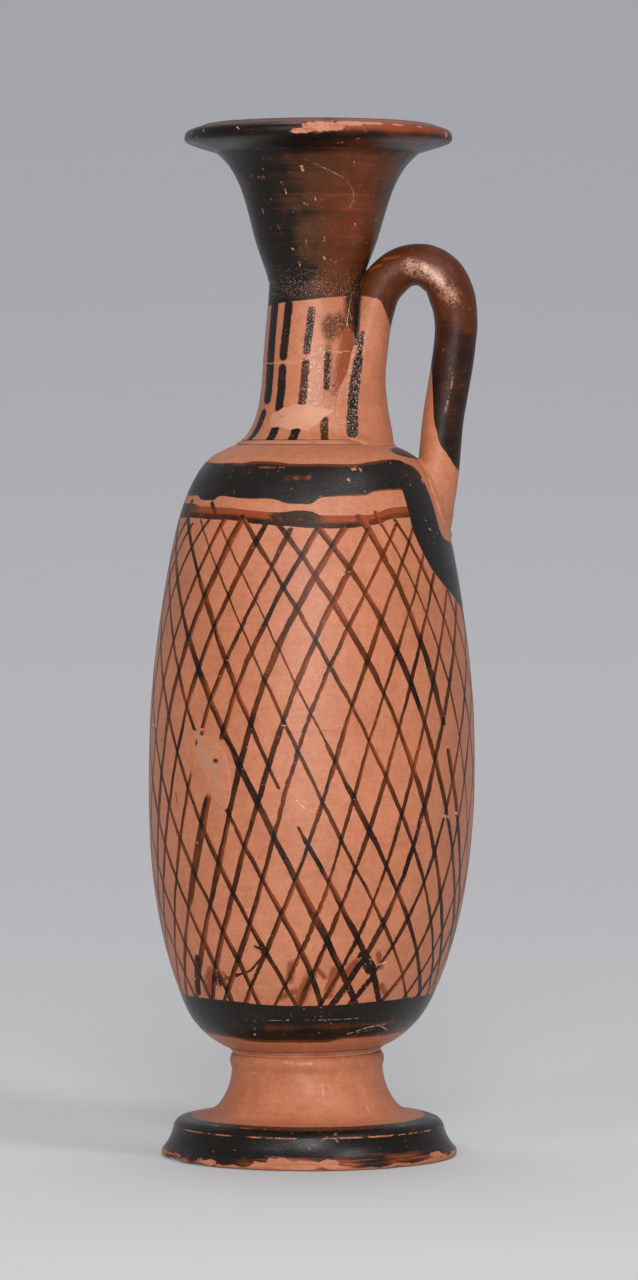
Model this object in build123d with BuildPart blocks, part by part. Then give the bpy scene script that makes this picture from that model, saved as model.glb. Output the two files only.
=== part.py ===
from build123d import *
import os
from math import acos, atan2, cos, sin

# A net-pattern lekythos: a small oil flask, thrown on the wheel in sections that are luted
# together with slip, with a pulled handle and two plaster repairs let into the wall.
# Millimetres, +Z up, origin on the ground under the axis of the pot, handle on the +X side.
# Each radius is measured from that axis, and each rise from the station below it.

# Slip that lutes one piece to the next
LUTE = 0.6

# Foot: a turned disc with a rolled edge, a flaring stem and a hollow underside
FOOT_RADIUS = 26.0
FOOT_EDGE_ROLL = 0.8
FOOT_EDGE_RISE = 1.4
ARRIS_RADIUS = 23.7
ARRIS_RISE = 3.9
ARRIS_CAVETTO = 0.35
DISC_TOP_RADIUS = 22.0
DISC_TOP_RISE = 1.4
DISC_TOP_BULGE = 0.3
STEM_ROOT_RADIUS = 17.8
STEM_ROOT_RISE = 0.7
STEM_RADIUS = 13.2
STEM_RISE = 7.7
COLLAR_BEAD = 0.35
COLLAR_RISE = 2.5
HOLLOW_RADIUS = 17.0
HOLLOW_DEPTH = 9.5
SOCKET_RADIUS = 8.0
SOCKET_DEPTH = 1.2

# Body wall, and the belly, which is the lower of its two thrown halves; each draw is how much
# narrower a station is than the one nearer to the peak
WALL = 3.6
FLOOR = 4.6
BASE_OVERHANG = 0.2
BELLY_TURN_DRAW = 4.3
BELLY_TURN_RISE = 3.1
BELLY_LOW_DRAW = 3.8
BELLY_LOW_RISE = 7.1
BELLY_MID_DRAW = 2.4
BELLY_MID_RISE = 12.3
BELLY_PEAK_RADIUS = 28.4
BELLY_PEAK_RISE = 25.3
SEAM_DRAW = 0.15
SEAM_RISE = 8.7

# Shoulder: the upper half of the body
SHOULDER_LOW_DRAW = 2.15
SHOULDER_LOW_RISE = 21.5
SHOULDER_MID_DRAW = 2.35
SHOULDER_MID_RISE = 13.0
SHOULDER_HIGH_DRAW = 2.8
SHOULDER_HIGH_RISE = 8.1
SHOULDER_TURN_DRAW = 3.05
SHOULDER_TURN_RISE = 4.1
SHOULDER_LEDGE = 0.6
SHOULDER_TOP_RISE = 2.1

# Neck: a waisted tube with a spigot that drops into the shoulder
BORE_RADIUS = 5.0
SPIGOT_RADIUS = 7.6
SPIGOT_LENGTH = 2.8
NECK_FOOT_RADIUS = 13.0
NECK_LOW_RADIUS = 10.4
NECK_LOW_RISE = 3.7
NECK_MID_RADIUS = 9.0
NECK_MID_RISE = 10.5
NECK_TOP_RADIUS = 8.1
NECK_TOP_RISE = 13.2

# Mouth: a funnel with a rounded base and an overhanging lip; each flare is how much wider a
# station is than the one below it
MOUTH_WALL = 3.0
MOUTH_STEP = 0.15
MOUTH_CUP_FLARE = 1.25
MOUTH_CUP_RISE = 3.8
MOUTH_LOW_FLARE = 1.65
MOUTH_LOW_RISE = 5.3
MOUTH_MID_FLARE = 1.85
MOUTH_MID_RISE = 6.4
LIP_ROOT_FLARE = 4.8
LIP_ROOT_RISE = 7.0
LIP_OVERHANG = 5.8
LIP_NOSE_RISE = 2.0
LIP_THICKNESS = 1.9
LIP_ROUND = 1.0
CROWN_INSET = 3.8
CROWN_RISE = 1.0
CROWN_ROUND = 2.0
LIP_INNER_INSET = 3.3

# Ridge thrown on a rim so that the piece above seats on it
RIDGE_HEIGHT = 1.2
RIDGE_WIDTH = 1.8

# Handle: a pulled rod that climbs the neck, loops over and lands on the shoulder
HANDLE_THICKNESS = 7.3
HANDLE_WIDTH = 8.2
HANDLE_STANDOFF = 1.1
HANDLE_TAIL_GAP = 1.0
ARCH_RADIUS = 7.8
ARCH_DROP = 4.8
LANDING_DROP = 8.0
LANDING_DEPTH = 14.0

# Plaster fills: a flake on the neck and a loss under the belly seam
FILL_DEPTH = 2.0
NECK_FILL_ANGLE = 28.0
NECK_FILL_WIDTH = 9.6
NECK_FILL_HEIGHT = 4.8
NECK_FILL_RISE = 4.2
BELLY_FILL_ANGLE = 38.0
BELLY_FILL_WIDTH = 9.6
BELLY_FILL_HEIGHT = 11.0
BELLY_FILL_DROP = 8.0

# Radii that follow the girth, the stem and the neck
BASE_RADIUS = STEM_RADIUS + BASE_OVERHANG
BELLY_MID_RADIUS = BELLY_PEAK_RADIUS - BELLY_MID_DRAW
BELLY_LOW_RADIUS = BELLY_MID_RADIUS - BELLY_LOW_DRAW
BELLY_TURN_RADIUS = BELLY_LOW_RADIUS - BELLY_TURN_DRAW
SEAM_RADIUS = BELLY_PEAK_RADIUS - SEAM_DRAW
SHOULDER_LOW_RADIUS = SEAM_RADIUS - SHOULDER_LOW_DRAW
SHOULDER_MID_RADIUS = SHOULDER_LOW_RADIUS - SHOULDER_MID_DRAW
SHOULDER_HIGH_RADIUS = SHOULDER_MID_RADIUS - SHOULDER_HIGH_DRAW
SHOULDER_TURN_RADIUS = SHOULDER_HIGH_RADIUS - SHOULDER_TURN_DRAW
SHOULDER_TOP_RADIUS = NECK_FOOT_RADIUS + SHOULDER_LEDGE
MOUTH_BASE_RADIUS = NECK_TOP_RADIUS + MOUTH_STEP
MOUTH_CUP_RADIUS = MOUTH_BASE_RADIUS + MOUTH_CUP_FLARE
MOUTH_LOW_RADIUS = MOUTH_CUP_RADIUS + MOUTH_LOW_FLARE
MOUTH_MID_RADIUS = MOUTH_LOW_RADIUS + MOUTH_MID_FLARE
LIP_ROOT_RADIUS = MOUTH_MID_RADIUS + LIP_ROOT_FLARE

# Levels of the joints, from the ground up
FOOT_TOP = FOOT_EDGE_RISE + ARRIS_RISE + DISC_TOP_RISE + STEM_ROOT_RISE + STEM_RISE + COLLAR_RISE
BELLY_BASE = FOOT_TOP + LUTE
BELLY_TOP = BELLY_BASE + BELLY_TURN_RISE + BELLY_LOW_RISE + BELLY_MID_RISE + BELLY_PEAK_RISE + SEAM_RISE
SHOULDER_BASE = BELLY_TOP + LUTE
SHOULDER_TOP = (
    SHOULDER_BASE
    + SHOULDER_LOW_RISE
    + SHOULDER_MID_RISE
    + SHOULDER_HIGH_RISE
    + SHOULDER_TURN_RISE
    + SHOULDER_TOP_RISE
)
NECK_BASE = SHOULDER_TOP + LUTE
NECK_TOP = NECK_BASE + NECK_LOW_RISE + NECK_MID_RISE + NECK_TOP_RISE
MOUTH_BASE = NECK_TOP + LUTE
LIP_ROOT = MOUTH_BASE + MOUTH_CUP_RISE + MOUTH_LOW_RISE + MOUTH_MID_RISE + LIP_ROOT_RISE

# Pull of a spline at its two ends, no stronger than its chords
TAUT = (1, 1)

os.makedirs("parts", exist_ok=True)


def climb(base, first_radius, *steps):
    """Stations (radius, height) of an outline that climbs from base by (radius, rise) steps."""
    stations = [(first_radius, base)]
    for radius, rise in steps:
        stations.append((radius, stations[-1][1] + rise))
    return stations


def grown(stations, amount):
    """The same stations with every radius larger by amount."""
    return [(radius + amount, height) for radius, height in stations]


def inset(curve, wall, shares):
    """Points one wall inside an outline that climbs, at these shares of its length."""
    points = []
    for share in shares:
        along = curve % share
        points.append(curve @ share + Vector(-along.Y, along.X) * wall)
    return points


def filled(*outlines):
    """A solid as full as these outlines, (stations, tangents) each, one standing on the other."""
    low = outlines[0][0][0]
    high = outlines[-1][0][-1]
    with BuildPart() as solid:
        with BuildSketch(Plane.XZ):
            with BuildLine():
                for stations, tangents in outlines:
                    Spline(*stations, tangents=tangents, tangent_scalars=TAUT)
                for lower, upper in zip(outlines, outlines[1:]):
                    Line(lower[0][-1], upper[0][0])
                Polyline(high, (0, high[1]), (0, low[1]), low)
            make_face()
        revolve(axis=Axis.Z)
    return solid.part


def ridged_rim(outer, inner, height):
    """Points across a rim from outside to inside, over a ridge on the middle of the wall."""
    middle = (outer + inner) / 2
    half = RIDGE_WIDTH / 2
    return [
        (outer, height),
        (middle + half, height),
        (middle, height + RIDGE_HEIGHT),
        (middle - half, height),
        (inner, height),
    ]


def fill_prism(angle, height, width, tall):
    """An irregular loss outline, pushed outwards from the axis, angle degrees left of the front."""
    facing = Plane(origin=(0, 0, height), x_dir=(1, 0, 0), z_dir=(0, -1, 0)).rotated((0, 0, -angle))
    with BuildPart() as prism:
        with BuildSketch(facing):
            with BuildLine():
                Polyline(
                    (-0.50 * width, 0.20 * tall),
                    (-0.28 * width, 0.50 * tall),
                    (0.16 * width, 0.44 * tall),
                    (0.50 * width, 0.12 * tall),
                    (0.34 * width, -0.46 * tall),
                    (-0.30 * width, -0.50 * tall),
                    close=True,
                )
            make_face()
        extrude(amount=BELLY_PEAK_RADIUS + FOOT_RADIUS)
    return prism.part


def write(piece, name):
    """Labels a finished piece and writes it to its own file."""
    piece.label = name
    export_step(piece, f"parts/{name}.step")


# Outlines of the thrown pieces, each with the direction that its wall takes at its two ends
belly_stations = climb(
    BELLY_BASE,
    BASE_RADIUS,
    (BELLY_TURN_RADIUS, BELLY_TURN_RISE),
    (BELLY_LOW_RADIUS, BELLY_LOW_RISE),
    (BELLY_MID_RADIUS, BELLY_MID_RISE),
    (BELLY_PEAK_RADIUS, BELLY_PEAK_RISE),
    (SEAM_RADIUS, SEAM_RISE),
)
shoulder_stations = climb(
    SHOULDER_BASE,
    SEAM_RADIUS,
    (SHOULDER_LOW_RADIUS, SHOULDER_LOW_RISE),
    (SHOULDER_MID_RADIUS, SHOULDER_MID_RISE),
    (SHOULDER_HIGH_RADIUS, SHOULDER_HIGH_RISE),
    (SHOULDER_TURN_RADIUS, SHOULDER_TURN_RISE),
    (SHOULDER_TOP_RADIUS, SHOULDER_TOP_RISE),
)
neck_stations = climb(
    NECK_BASE,
    NECK_FOOT_RADIUS,
    (NECK_LOW_RADIUS, NECK_LOW_RISE),
    (NECK_MID_RADIUS, NECK_MID_RISE),
    (NECK_TOP_RADIUS, NECK_TOP_RISE),
)
mouth_stations = climb(
    MOUTH_BASE,
    MOUTH_BASE_RADIUS,
    (MOUTH_CUP_RADIUS, MOUTH_CUP_RISE),
    (MOUTH_LOW_RADIUS, MOUTH_LOW_RISE),
    (MOUTH_MID_RADIUS, MOUTH_MID_RISE),
    (LIP_ROOT_RADIUS, LIP_ROOT_RISE),
)
seam_lean = (-0.03, 1)
belly_tangents = [(1, 0.42), seam_lean]
shoulder_tangents = [seam_lean, (-1, 0.4)]
neck_tangents = [(-1, 0.6), (-0.02, 1)]
mouth_tangents = [(0.2, 1), (1, 0.75)]

belly_outline = Spline(*belly_stations, tangents=belly_tangents, tangent_scalars=TAUT)
shoulder_outline = Spline(*shoulder_stations, tangents=shoulder_tangents, tangent_scalars=TAUT)
mouth_outline = Spline(*mouth_stations, tangents=mouth_tangents, tangent_scalars=TAUT)

# Full solids of the outlines, to trim the handle and the fills against
belly_full = filled((belly_stations, belly_tangents))
shoulder_full = filled((shoulder_stations, shoulder_tangents))
neck_full = filled((neck_stations, neck_tangents))
throat_full = filled((neck_stations, neck_tangents), (mouth_stations, mouth_tangents))
shoulder_luted = filled((grown(shoulder_stations, LUTE), shoulder_tangents))
throat_luted = filled(
    (grown(neck_stations, LUTE), neck_tangents),
    (grown(mouth_stations, LUTE), mouth_tangents),
)

# Seats between the pieces, as points from the outside of the wall to its inside
foot_seat = [
    (STEM_RADIUS - COLLAR_BEAD, FOOT_TOP),
    (SOCKET_RADIUS, FOOT_TOP),
    (SOCKET_RADIUS, FOOT_TOP - SOCKET_DEPTH),
    (0, FOOT_TOP - SOCKET_DEPTH),
]
belly_seat = [
    (BASE_RADIUS, BELLY_BASE),
    (SOCKET_RADIUS - LUTE, BELLY_BASE),
    (SOCKET_RADIUS - LUTE, BELLY_BASE - SOCKET_DEPTH),
    (0, BELLY_BASE - SOCKET_DEPTH),
]
belly_rim = ridged_rim(SEAM_RADIUS, SEAM_RADIUS - WALL, BELLY_TOP)
shoulder_rim = ridged_rim(SEAM_RADIUS, SEAM_RADIUS - WALL, SHOULDER_BASE)
neck_rim = ridged_rim(NECK_TOP_RADIUS, BORE_RADIUS, NECK_TOP)
mouth_rim = ridged_rim(NECK_TOP_RADIUS, BORE_RADIUS, MOUTH_BASE)

# Foot
with BuildPart() as foot:
    with BuildSketch(Plane.XZ):
        with BuildLine():
            rest = Line((HOLLOW_RADIUS, 0), (FOOT_RADIUS - FOOT_EDGE_ROLL, 0))
            rolled_edge = TangentArc(
                rest @ 1,
                (FOOT_RADIUS - FOOT_EDGE_ROLL / 2, FOOT_EDGE_RISE),
                tangent=(1, 0),
            )
            arris = (ARRIS_RADIUS, FOOT_EDGE_RISE + ARRIS_RISE)
            cavetto = SagittaArc(rolled_edge @ 1, arris, ARRIS_CAVETTO)
            disc_top = (DISC_TOP_RADIUS, arris[1] + DISC_TOP_RISE)
            bevel = SagittaArc(cavetto @ 1, disc_top, -DISC_TOP_BULGE)
            slope = Line(bevel @ 1, (STEM_ROOT_RADIUS, disc_top[1] + STEM_ROOT_RISE))
            stem = Spline(
                slope @ 1,
                (STEM_RADIUS, FOOT_TOP - COLLAR_RISE),
                tangents=[(-1, 0.35), (0, 1)],
                tangent_scalars=TAUT,
            )
            collar = ThreePointArc(
                stem @ 1,
                (STEM_RADIUS + COLLAR_BEAD, FOOT_TOP - COLLAR_RISE / 2),
                foot_seat[0],
            )
            Polyline(*foot_seat)
            axis_of_foot = Line(foot_seat[-1], (0, HOLLOW_DEPTH))
            Spline(axis_of_foot @ 1, rest @ 0, tangents=[(1, 0), (0.4, -1)], tangent_scalars=TAUT)
        make_face()
    revolve(axis=Axis.Z)
write(foot.part, "foot")

# Slip under the belly, set a little back so that it reads as the groove above the collar
with BuildPart() as foot_luting:
    with BuildSketch(Plane.XZ):
        with BuildLine():
            Polyline(*foot_seat, belly_seat[3], belly_seat[2], belly_seat[1])
            Polyline(belly_seat[1], (foot_seat[0][0], BELLY_BASE), foot_seat[0])
        make_face()
    revolve(axis=Axis.Z)
write(foot_luting.part, "foot_luting")

# Belly, with the fill's bed cut out of its wall
belly_fill_centre = BELLY_TOP - BELLY_FILL_DROP
belly_fill_prism = fill_prism(BELLY_FILL_ANGLE, belly_fill_centre, BELLY_FILL_WIDTH, BELLY_FILL_HEIGHT)
belly_bed = filled((grown(belly_stations, -FILL_DEPTH), belly_tangents))

with BuildPart() as belly_fill:
    add(belly_full)
    add(belly_bed, mode=Mode.SUBTRACT)
    add(belly_fill_prism, mode=Mode.INTERSECT)
write(belly_fill.part, "belly_fill")

with BuildPart() as belly:
    with BuildSketch(Plane.XZ):
        with BuildLine():
            Spline(*belly_stations, tangents=belly_tangents, tangent_scalars=TAUT)
            Polyline(*belly_rim)
            Spline(
                (0, BELLY_BASE + FLOOR),
                *inset(belly_outline, WALL, (0.22, 0.4, 0.6, 0.8)),
                belly_rim[-1],
                tangents=[(1, 0), seam_lean],
                tangent_scalars=TAUT,
            )
            Polyline((0, BELLY_BASE + FLOOR), *reversed(belly_seat))
        make_face()
    revolve(axis=Axis.Z)
    add(belly_fill.part, mode=Mode.SUBTRACT)
write(belly.part, "belly")

# Slip in the seam between the two halves of the body
with BuildPart() as belly_luting:
    with BuildSketch(Plane.XZ):
        with BuildLine():
            Polyline(*belly_rim, *reversed(shoulder_rim), close=True)
        make_face()
    revolve(axis=Axis.Z)
write(belly_luting.part, "belly_luting")

# Shoulder, open at the top for the neck's spigot
with BuildPart() as shoulder:
    with BuildSketch(Plane.XZ):
        with BuildLine():
            Polyline(*shoulder_rim)
            outside = Spline(*shoulder_stations, tangents=shoulder_tangents, tangent_scalars=TAUT)
            inside = Spline(
                shoulder_rim[-1],
                *inset(shoulder_outline, WALL, (0.25, 0.5, 0.7, 0.85, 1)),
                tangents=[seam_lean, shoulder_tangents[1]],
                tangent_scalars=TAUT,
            )
            Polyline(
                outside @ 1,
                (SPIGOT_RADIUS + LUTE, SHOULDER_TOP),
                (SPIGOT_RADIUS + LUTE, SHOULDER_TOP - WALL),
                inside @ 1,
            )
        make_face()
    revolve(axis=Axis.Z)
write(shoulder.part, "shoulder")

# Slip round the spigot and under the foot of the neck
with BuildPart() as neck_luting:
    with BuildSketch(Plane.XZ):
        with BuildLine():
            Polyline(
                (NECK_FOOT_RADIUS, NECK_BASE),
                (SPIGOT_RADIUS, NECK_BASE),
                (SPIGOT_RADIUS, NECK_BASE - SPIGOT_LENGTH),
                (SPIGOT_RADIUS + LUTE, NECK_BASE - SPIGOT_LENGTH),
                (SPIGOT_RADIUS + LUTE, SHOULDER_TOP),
                (NECK_FOOT_RADIUS, SHOULDER_TOP),
                close=True,
            )
        make_face()
    revolve(axis=Axis.Z)
write(neck_luting.part, "neck_luting")

# Neck, with the fill's bed cut out of its wall
neck_fill_centre = NECK_BASE + NECK_FILL_RISE
neck_fill_prism = fill_prism(NECK_FILL_ANGLE, neck_fill_centre, NECK_FILL_WIDTH, NECK_FILL_HEIGHT)
neck_bed = filled((grown(neck_stations, -FILL_DEPTH), neck_tangents))

with BuildPart() as neck_fill:
    add(neck_full)
    add(neck_bed, mode=Mode.SUBTRACT)
    add(neck_fill_prism, mode=Mode.INTERSECT)
write(neck_fill.part, "neck_fill")

with BuildPart() as neck:
    with BuildSketch(Plane.XZ):
        with BuildLine():
            Spline(*neck_stations, tangents=neck_tangents, tangent_scalars=TAUT)
            Polyline(*neck_rim)
            Polyline(
                neck_rim[-1],
                (BORE_RADIUS, NECK_BASE - SPIGOT_LENGTH),
                (SPIGOT_RADIUS, NECK_BASE - SPIGOT_LENGTH),
                (SPIGOT_RADIUS, NECK_BASE),
                neck_stations[0],
            )
        make_face()
    revolve(axis=Axis.Z)
    add(neck_fill.part, mode=Mode.SUBTRACT)
write(neck.part, "neck")

# Slip between the neck's rim and the mouth
with BuildPart() as mouth_luting:
    with BuildSketch(Plane.XZ):
        with BuildLine():
            Polyline(*neck_rim, *reversed(mouth_rim), close=True)
        make_face()
    revolve(axis=Axis.Z)
write(mouth_luting.part, "mouth_luting")

# Mouth
with BuildPart() as mouth:
    with BuildSketch(Plane.XZ):
        with BuildLine():
            Line(mouth_rim[0], mouth_stations[0])
            Spline(*mouth_stations, tangents=mouth_tangents, tangent_scalars=TAUT)
            nose = (LIP_ROOT_RADIUS + LIP_OVERHANG, LIP_ROOT + LIP_NOSE_RISE)
            crown = (nose[0] - CROWN_INSET, nose[1] + LIP_THICKNESS + CROWN_RISE)
            lip = FilletPolyline(
                mouth_stations[-1],
                nose,
                (nose[0] - LIP_ROUND / 2, nose[1] + LIP_THICKNESS),
                crown,
                (crown[0] - LIP_INNER_INSET, crown[1] - LIP_ROUND),
                radius=[LIP_ROUND, LIP_ROUND, CROWN_ROUND],
            )
            Spline(
                lip @ 1,
                *inset(mouth_outline, MOUTH_WALL, (0.85, 0.6, 0.35)),
                mouth_rim[-1],
                tangents=[(-1, -0.5), (-0.3, -1)],
                tangent_scalars=TAUT,
            )
            Polyline(*mouth_rim)
        make_face()
    revolve(axis=Axis.Z)
write(mouth.part, "mouth")

# Handle rod, up the neck, over the arch and straight down to its landing on the shoulder
arch_start = (NECK_TOP_RADIUS + HANDLE_STANDOFF, NECK_TOP - ARCH_DROP)
arch_centre = (arch_start[0] + ARCH_RADIUS, arch_start[1])
landing_height = SHOULDER_TOP - LANDING_DROP
landing = shoulder_outline.intersect(Axis((0, landing_height), (1, 0)))
landing_point = (landing.X if isinstance(landing, Vector) else landing[0].X, landing_height)
to_landing = Vector(*landing_point) - Vector(*arch_centre)
leaving_angle = atan2(to_landing.Y, to_landing.X) + acos(ARCH_RADIUS / to_landing.length)
arch_end = (
    arch_centre[0] + ARCH_RADIUS * cos(leaving_angle),
    arch_centre[1] + ARCH_RADIUS * sin(leaving_angle),
)
arch_crown = (arch_centre[0], arch_centre[1] + ARCH_RADIUS)
down = (Vector(*landing_point) - Vector(*arch_end)).normalized()
rod_end = (landing_point[0] + down.X * LANDING_DEPTH, landing_point[1] + down.Y * LANDING_DEPTH)
rod_start = (arch_start[0], NECK_BASE + HANDLE_TAIL_GAP)

with BuildPart() as rod:
    with BuildLine(Plane.XZ) as rod_path:
        Line(rod_start, arch_start)
        ThreePointArc(arch_start, arch_crown, arch_end)
        Line(arch_end, rod_end)
    with BuildSketch(Plane.XY.offset(rod_start[1])):
        with Locations((rod_start[0], 0)):
            Ellipse(HANDLE_THICKNESS / 2, HANDLE_WIDTH / 2)
    sweep(path=rod_path.line)

with BuildPart() as handle:
    add(rod.part)
    add([throat_luted, shoulder_luted], mode=Mode.SUBTRACT)
write(handle.part, "handle")

# Slip between the handle and what it is pressed on
with BuildPart() as handle_top_luting:
    add(throat_luted)
    add(rod.part, mode=Mode.INTERSECT)
    add(throat_full, mode=Mode.SUBTRACT)
write(handle_top_luting.part, "handle_top_luting")

with BuildPart() as handle_bottom_luting:
    add(shoulder_luted)
    add(rod.part, mode=Mode.INTERSECT)
    add(shoulder_full, mode=Mode.SUBTRACT)
write(handle_bottom_luting.part, "handle_bottom_luting")
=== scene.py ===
import math

import bpy
import numpy as np
from bpy.props import FloatProperty, FloatVectorProperty, PointerProperty
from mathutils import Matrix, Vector, noise


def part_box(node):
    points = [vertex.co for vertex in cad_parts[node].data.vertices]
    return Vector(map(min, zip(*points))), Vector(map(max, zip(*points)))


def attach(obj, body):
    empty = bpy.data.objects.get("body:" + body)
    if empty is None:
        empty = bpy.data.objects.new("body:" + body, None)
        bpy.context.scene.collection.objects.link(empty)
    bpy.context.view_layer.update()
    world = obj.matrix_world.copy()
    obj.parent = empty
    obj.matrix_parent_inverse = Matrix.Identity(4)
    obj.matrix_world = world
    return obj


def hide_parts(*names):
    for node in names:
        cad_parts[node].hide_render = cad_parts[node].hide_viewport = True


bl_info = {
    "name": "Net lekythos",
    "version": (1, 0, 0),
    "blender": (4, 5, 0),
    "location": "3D View > Sidebar > Lekythos",
    "description": "Dresses a thrown oil flask in fired clay, a painted net and black slip",
    "category": "Object",
}

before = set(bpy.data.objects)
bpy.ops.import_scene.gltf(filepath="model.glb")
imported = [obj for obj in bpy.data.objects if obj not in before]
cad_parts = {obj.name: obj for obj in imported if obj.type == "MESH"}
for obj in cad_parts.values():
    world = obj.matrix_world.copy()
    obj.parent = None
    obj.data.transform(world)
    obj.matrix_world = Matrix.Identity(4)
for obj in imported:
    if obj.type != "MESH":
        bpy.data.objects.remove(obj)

# Lengths in this file are millimetres and angles degrees, until a mesh takes its place.
# Azimuth is measured round the axis of the pot from the front (-Y) towards the handle (+X).
MM = 0.001
DEGREE = math.radians(1.0)

# Reading the frame: where a ray starts, its turn off the back line (in radians), how far it keeps off
# the axis and how far off an edge
FAR = 80.0
FAR_BELOW = 10.0
BACK_TURN = 0.06
OFF_AXIS = 0.1
NUDGE = 0.012

# Meshes: radius left at a pole, how near points merge, rounds of subdivision, fewer where a mesh is fine
# already, and steps round each wall
POLE = 0.5
MERGE = 0.001
ROUNDS = 2
FINE_ROUNDS = 1
FOOT_STEPS = 48
BODY_STEPS = 64
NECK_STEPS = 48
MOUTH_STEPS = 112
RING_STEPS = 64

# Colours that no setting changes, the gloss under the coat, and how deep relief is, in metres
# CHALK_AND_GLINT: pale clay in scratches, flecks and rubbed places, and also painted glints and a painted
# highlight
CHALK_AND_GLINT = (0.66, 0.42, 0.31)
# GLINT_SILVER: painted glints where broken slip catches the light
GLINT_SILVER = (0.62, 0.54, 0.50)
OLIVE = (0.066, 0.036, 0.013)
BURNT_SPECK = (0.10, 0.035, 0.018)
CREASE_SHADE = (0.30, 0.11, 0.055)
GREY_SMEAR = (0.26, 0.22, 0.205)
OLD_PAINT = (0.02, 0.012, 0.01)
LUTING_SHADE = (0.16, 0.055, 0.026)
SLIP_GLOSS = 0.14
FINE_RELIEF = 0.00003
COARSE_RELIEF = 0.00006

# Levels of the joints, read from the frame
FOOT_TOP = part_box("foot")[1].z / MM
BELLY_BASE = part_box("foot_luting")[1].z / MM
BELLY_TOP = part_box("belly_luting")[0].z / MM
SHOULDER_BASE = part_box("shoulder")[0].z / MM
SHOULDER_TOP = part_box("shoulder")[1].z / MM
NECK_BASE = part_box("neck_luting")[1].z / MM
NECK_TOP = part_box("mouth_luting")[0].z / MM
MOUTH_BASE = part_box("mouth")[0].z / MM
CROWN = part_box("mouth")[1].z / MM
BODY_SEAM = 0.5 * (BELLY_TOP + SHOULDER_BASE)
MOUTH_SEAM = 0.5 * (NECK_TOP + MOUTH_BASE)

# Gap between the walls at the body seam, height of the square edge at a joint, floor of the belly,
# rise of the lip's crest, and the radius where the lip starts to sag and the width that sags
HAIRLINE = 0.08
CREASE = 0.04
BELLY_FLOOR = 4.6
LIP_CREST = 0.25
SAG_START = 12.0
SAG_WIDE = 10.5

# Rows of each wall, as shares of its height: close together where the wall turns
FOOT_ROWS = (
    0.0, 0.012, 0.03, 0.05, 0.072, 0.095, 0.13, 0.18, 0.23, 0.275, 0.296, 0.306, 0.325, 0.35,
    0.368, 0.38, 0.39, 0.4, 0.41, 0.42, 0.435, 0.46, 0.5, 0.56, 0.63, 0.7, 0.77, 0.82, 0.85,
    0.87, 0.9, 0.93, 0.96, 0.985, 1.0,
)
HOLLOW_ROWS = (0.97, 0.88, 0.72, 0.5, 0.3, 0.12, 0.03, 0.0)
BELLY_ROWS = (
    0.0, 0.008, 0.022, 0.04, 0.065, 0.1, 0.145, 0.2, 0.265, 0.34, 0.42, 0.5, 0.58, 0.66, 0.74,
    0.82, 0.89, 0.95, 0.985, 0.9985, 1.0,
)
SHOULDER_ROWS = (
    0.0, 0.0018, 0.02, 0.06, 0.12, 0.2, 0.28, 0.36, 0.44, 0.52, 0.6, 0.67, 0.735, 0.79, 0.84,
    0.885, 0.92, 0.948, 0.968, 0.985, 0.995, 1.0,
)
NECK_ROWS = (
    0.0, 0.01, 0.03, 0.06, 0.1, 0.15, 0.21, 0.28, 0.37, 0.47, 0.58, 0.69, 0.8, 0.9, 0.97, 0.997, 1.0,
)
MOUTH_ROWS = (
    0.0, 0.003, 0.02, 0.06, 0.12, 0.19, 0.27, 0.36, 0.45, 0.54, 0.62, 0.69, 0.75, 0.795, 0.818, 0.824, 0.83,
    0.85, 0.865, 0.88, 0.893, 0.905, 0.92, 0.935, 0.95, 0.965, 0.978, 0.989, 0.996,
)
FUNNEL_ROWS = (0.985, 0.96, 0.92, 0.85, 0.75, 0.62, 0.5, 0.36, 0.2, 0.08, 0.0)
CAVITY_ROWS = (0.97, 0.85, 0.65, 0.45, 0.25, 0.1)

# The pot was joined by eye, so its axis drifts, its base tilts and lifts, and its wall is fuller in places
DRIFT_LEVELS = (0.0, 12.0, 18.0, 22.0, 27.0, 34.0, 48.0, 62.0, 70.0, 110.0, 125.0, 152.0, 180.0)
DRIFT = (-0.45, -0.75, -0.95, -0.95, -0.85, -0.65, -0.35, -0.08, 0.0, 0.1, 0.35, 0.6, 1.15)
TILT_LEVELS = (12.0, 17.0, 22.0, 30.0)
TILT = (0.0, 0.016, 0.014, 0.0)
LIFT_LEVELS = (9.0, 17.3, 18.6, 27.0)
LIFT = (0.0, 0.7, 0.7, 0.0)
SWELL_LEVELS = (20.0, 24.0, 30.0, 48.0, 64.0, 90.0, 106.0, 154.0, 160.0, 168.0, 174.0)
SWELL = (0.0, 0.2, 0.1, 0.16, 0.14, 0.12, 0.0, 0.0, 0.12, 0.12, 0.0)

# Lumps of a wall smoothed by hand: size of the broad ones, size and share of the fine ones
LUMP = 9.0
FINE_LUMP = 2.2
FINE_SHARE = 0.4

# What counts as the outer wall for the paint: how far inside the true radius
PAINT_DEPTH = 1.0

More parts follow.
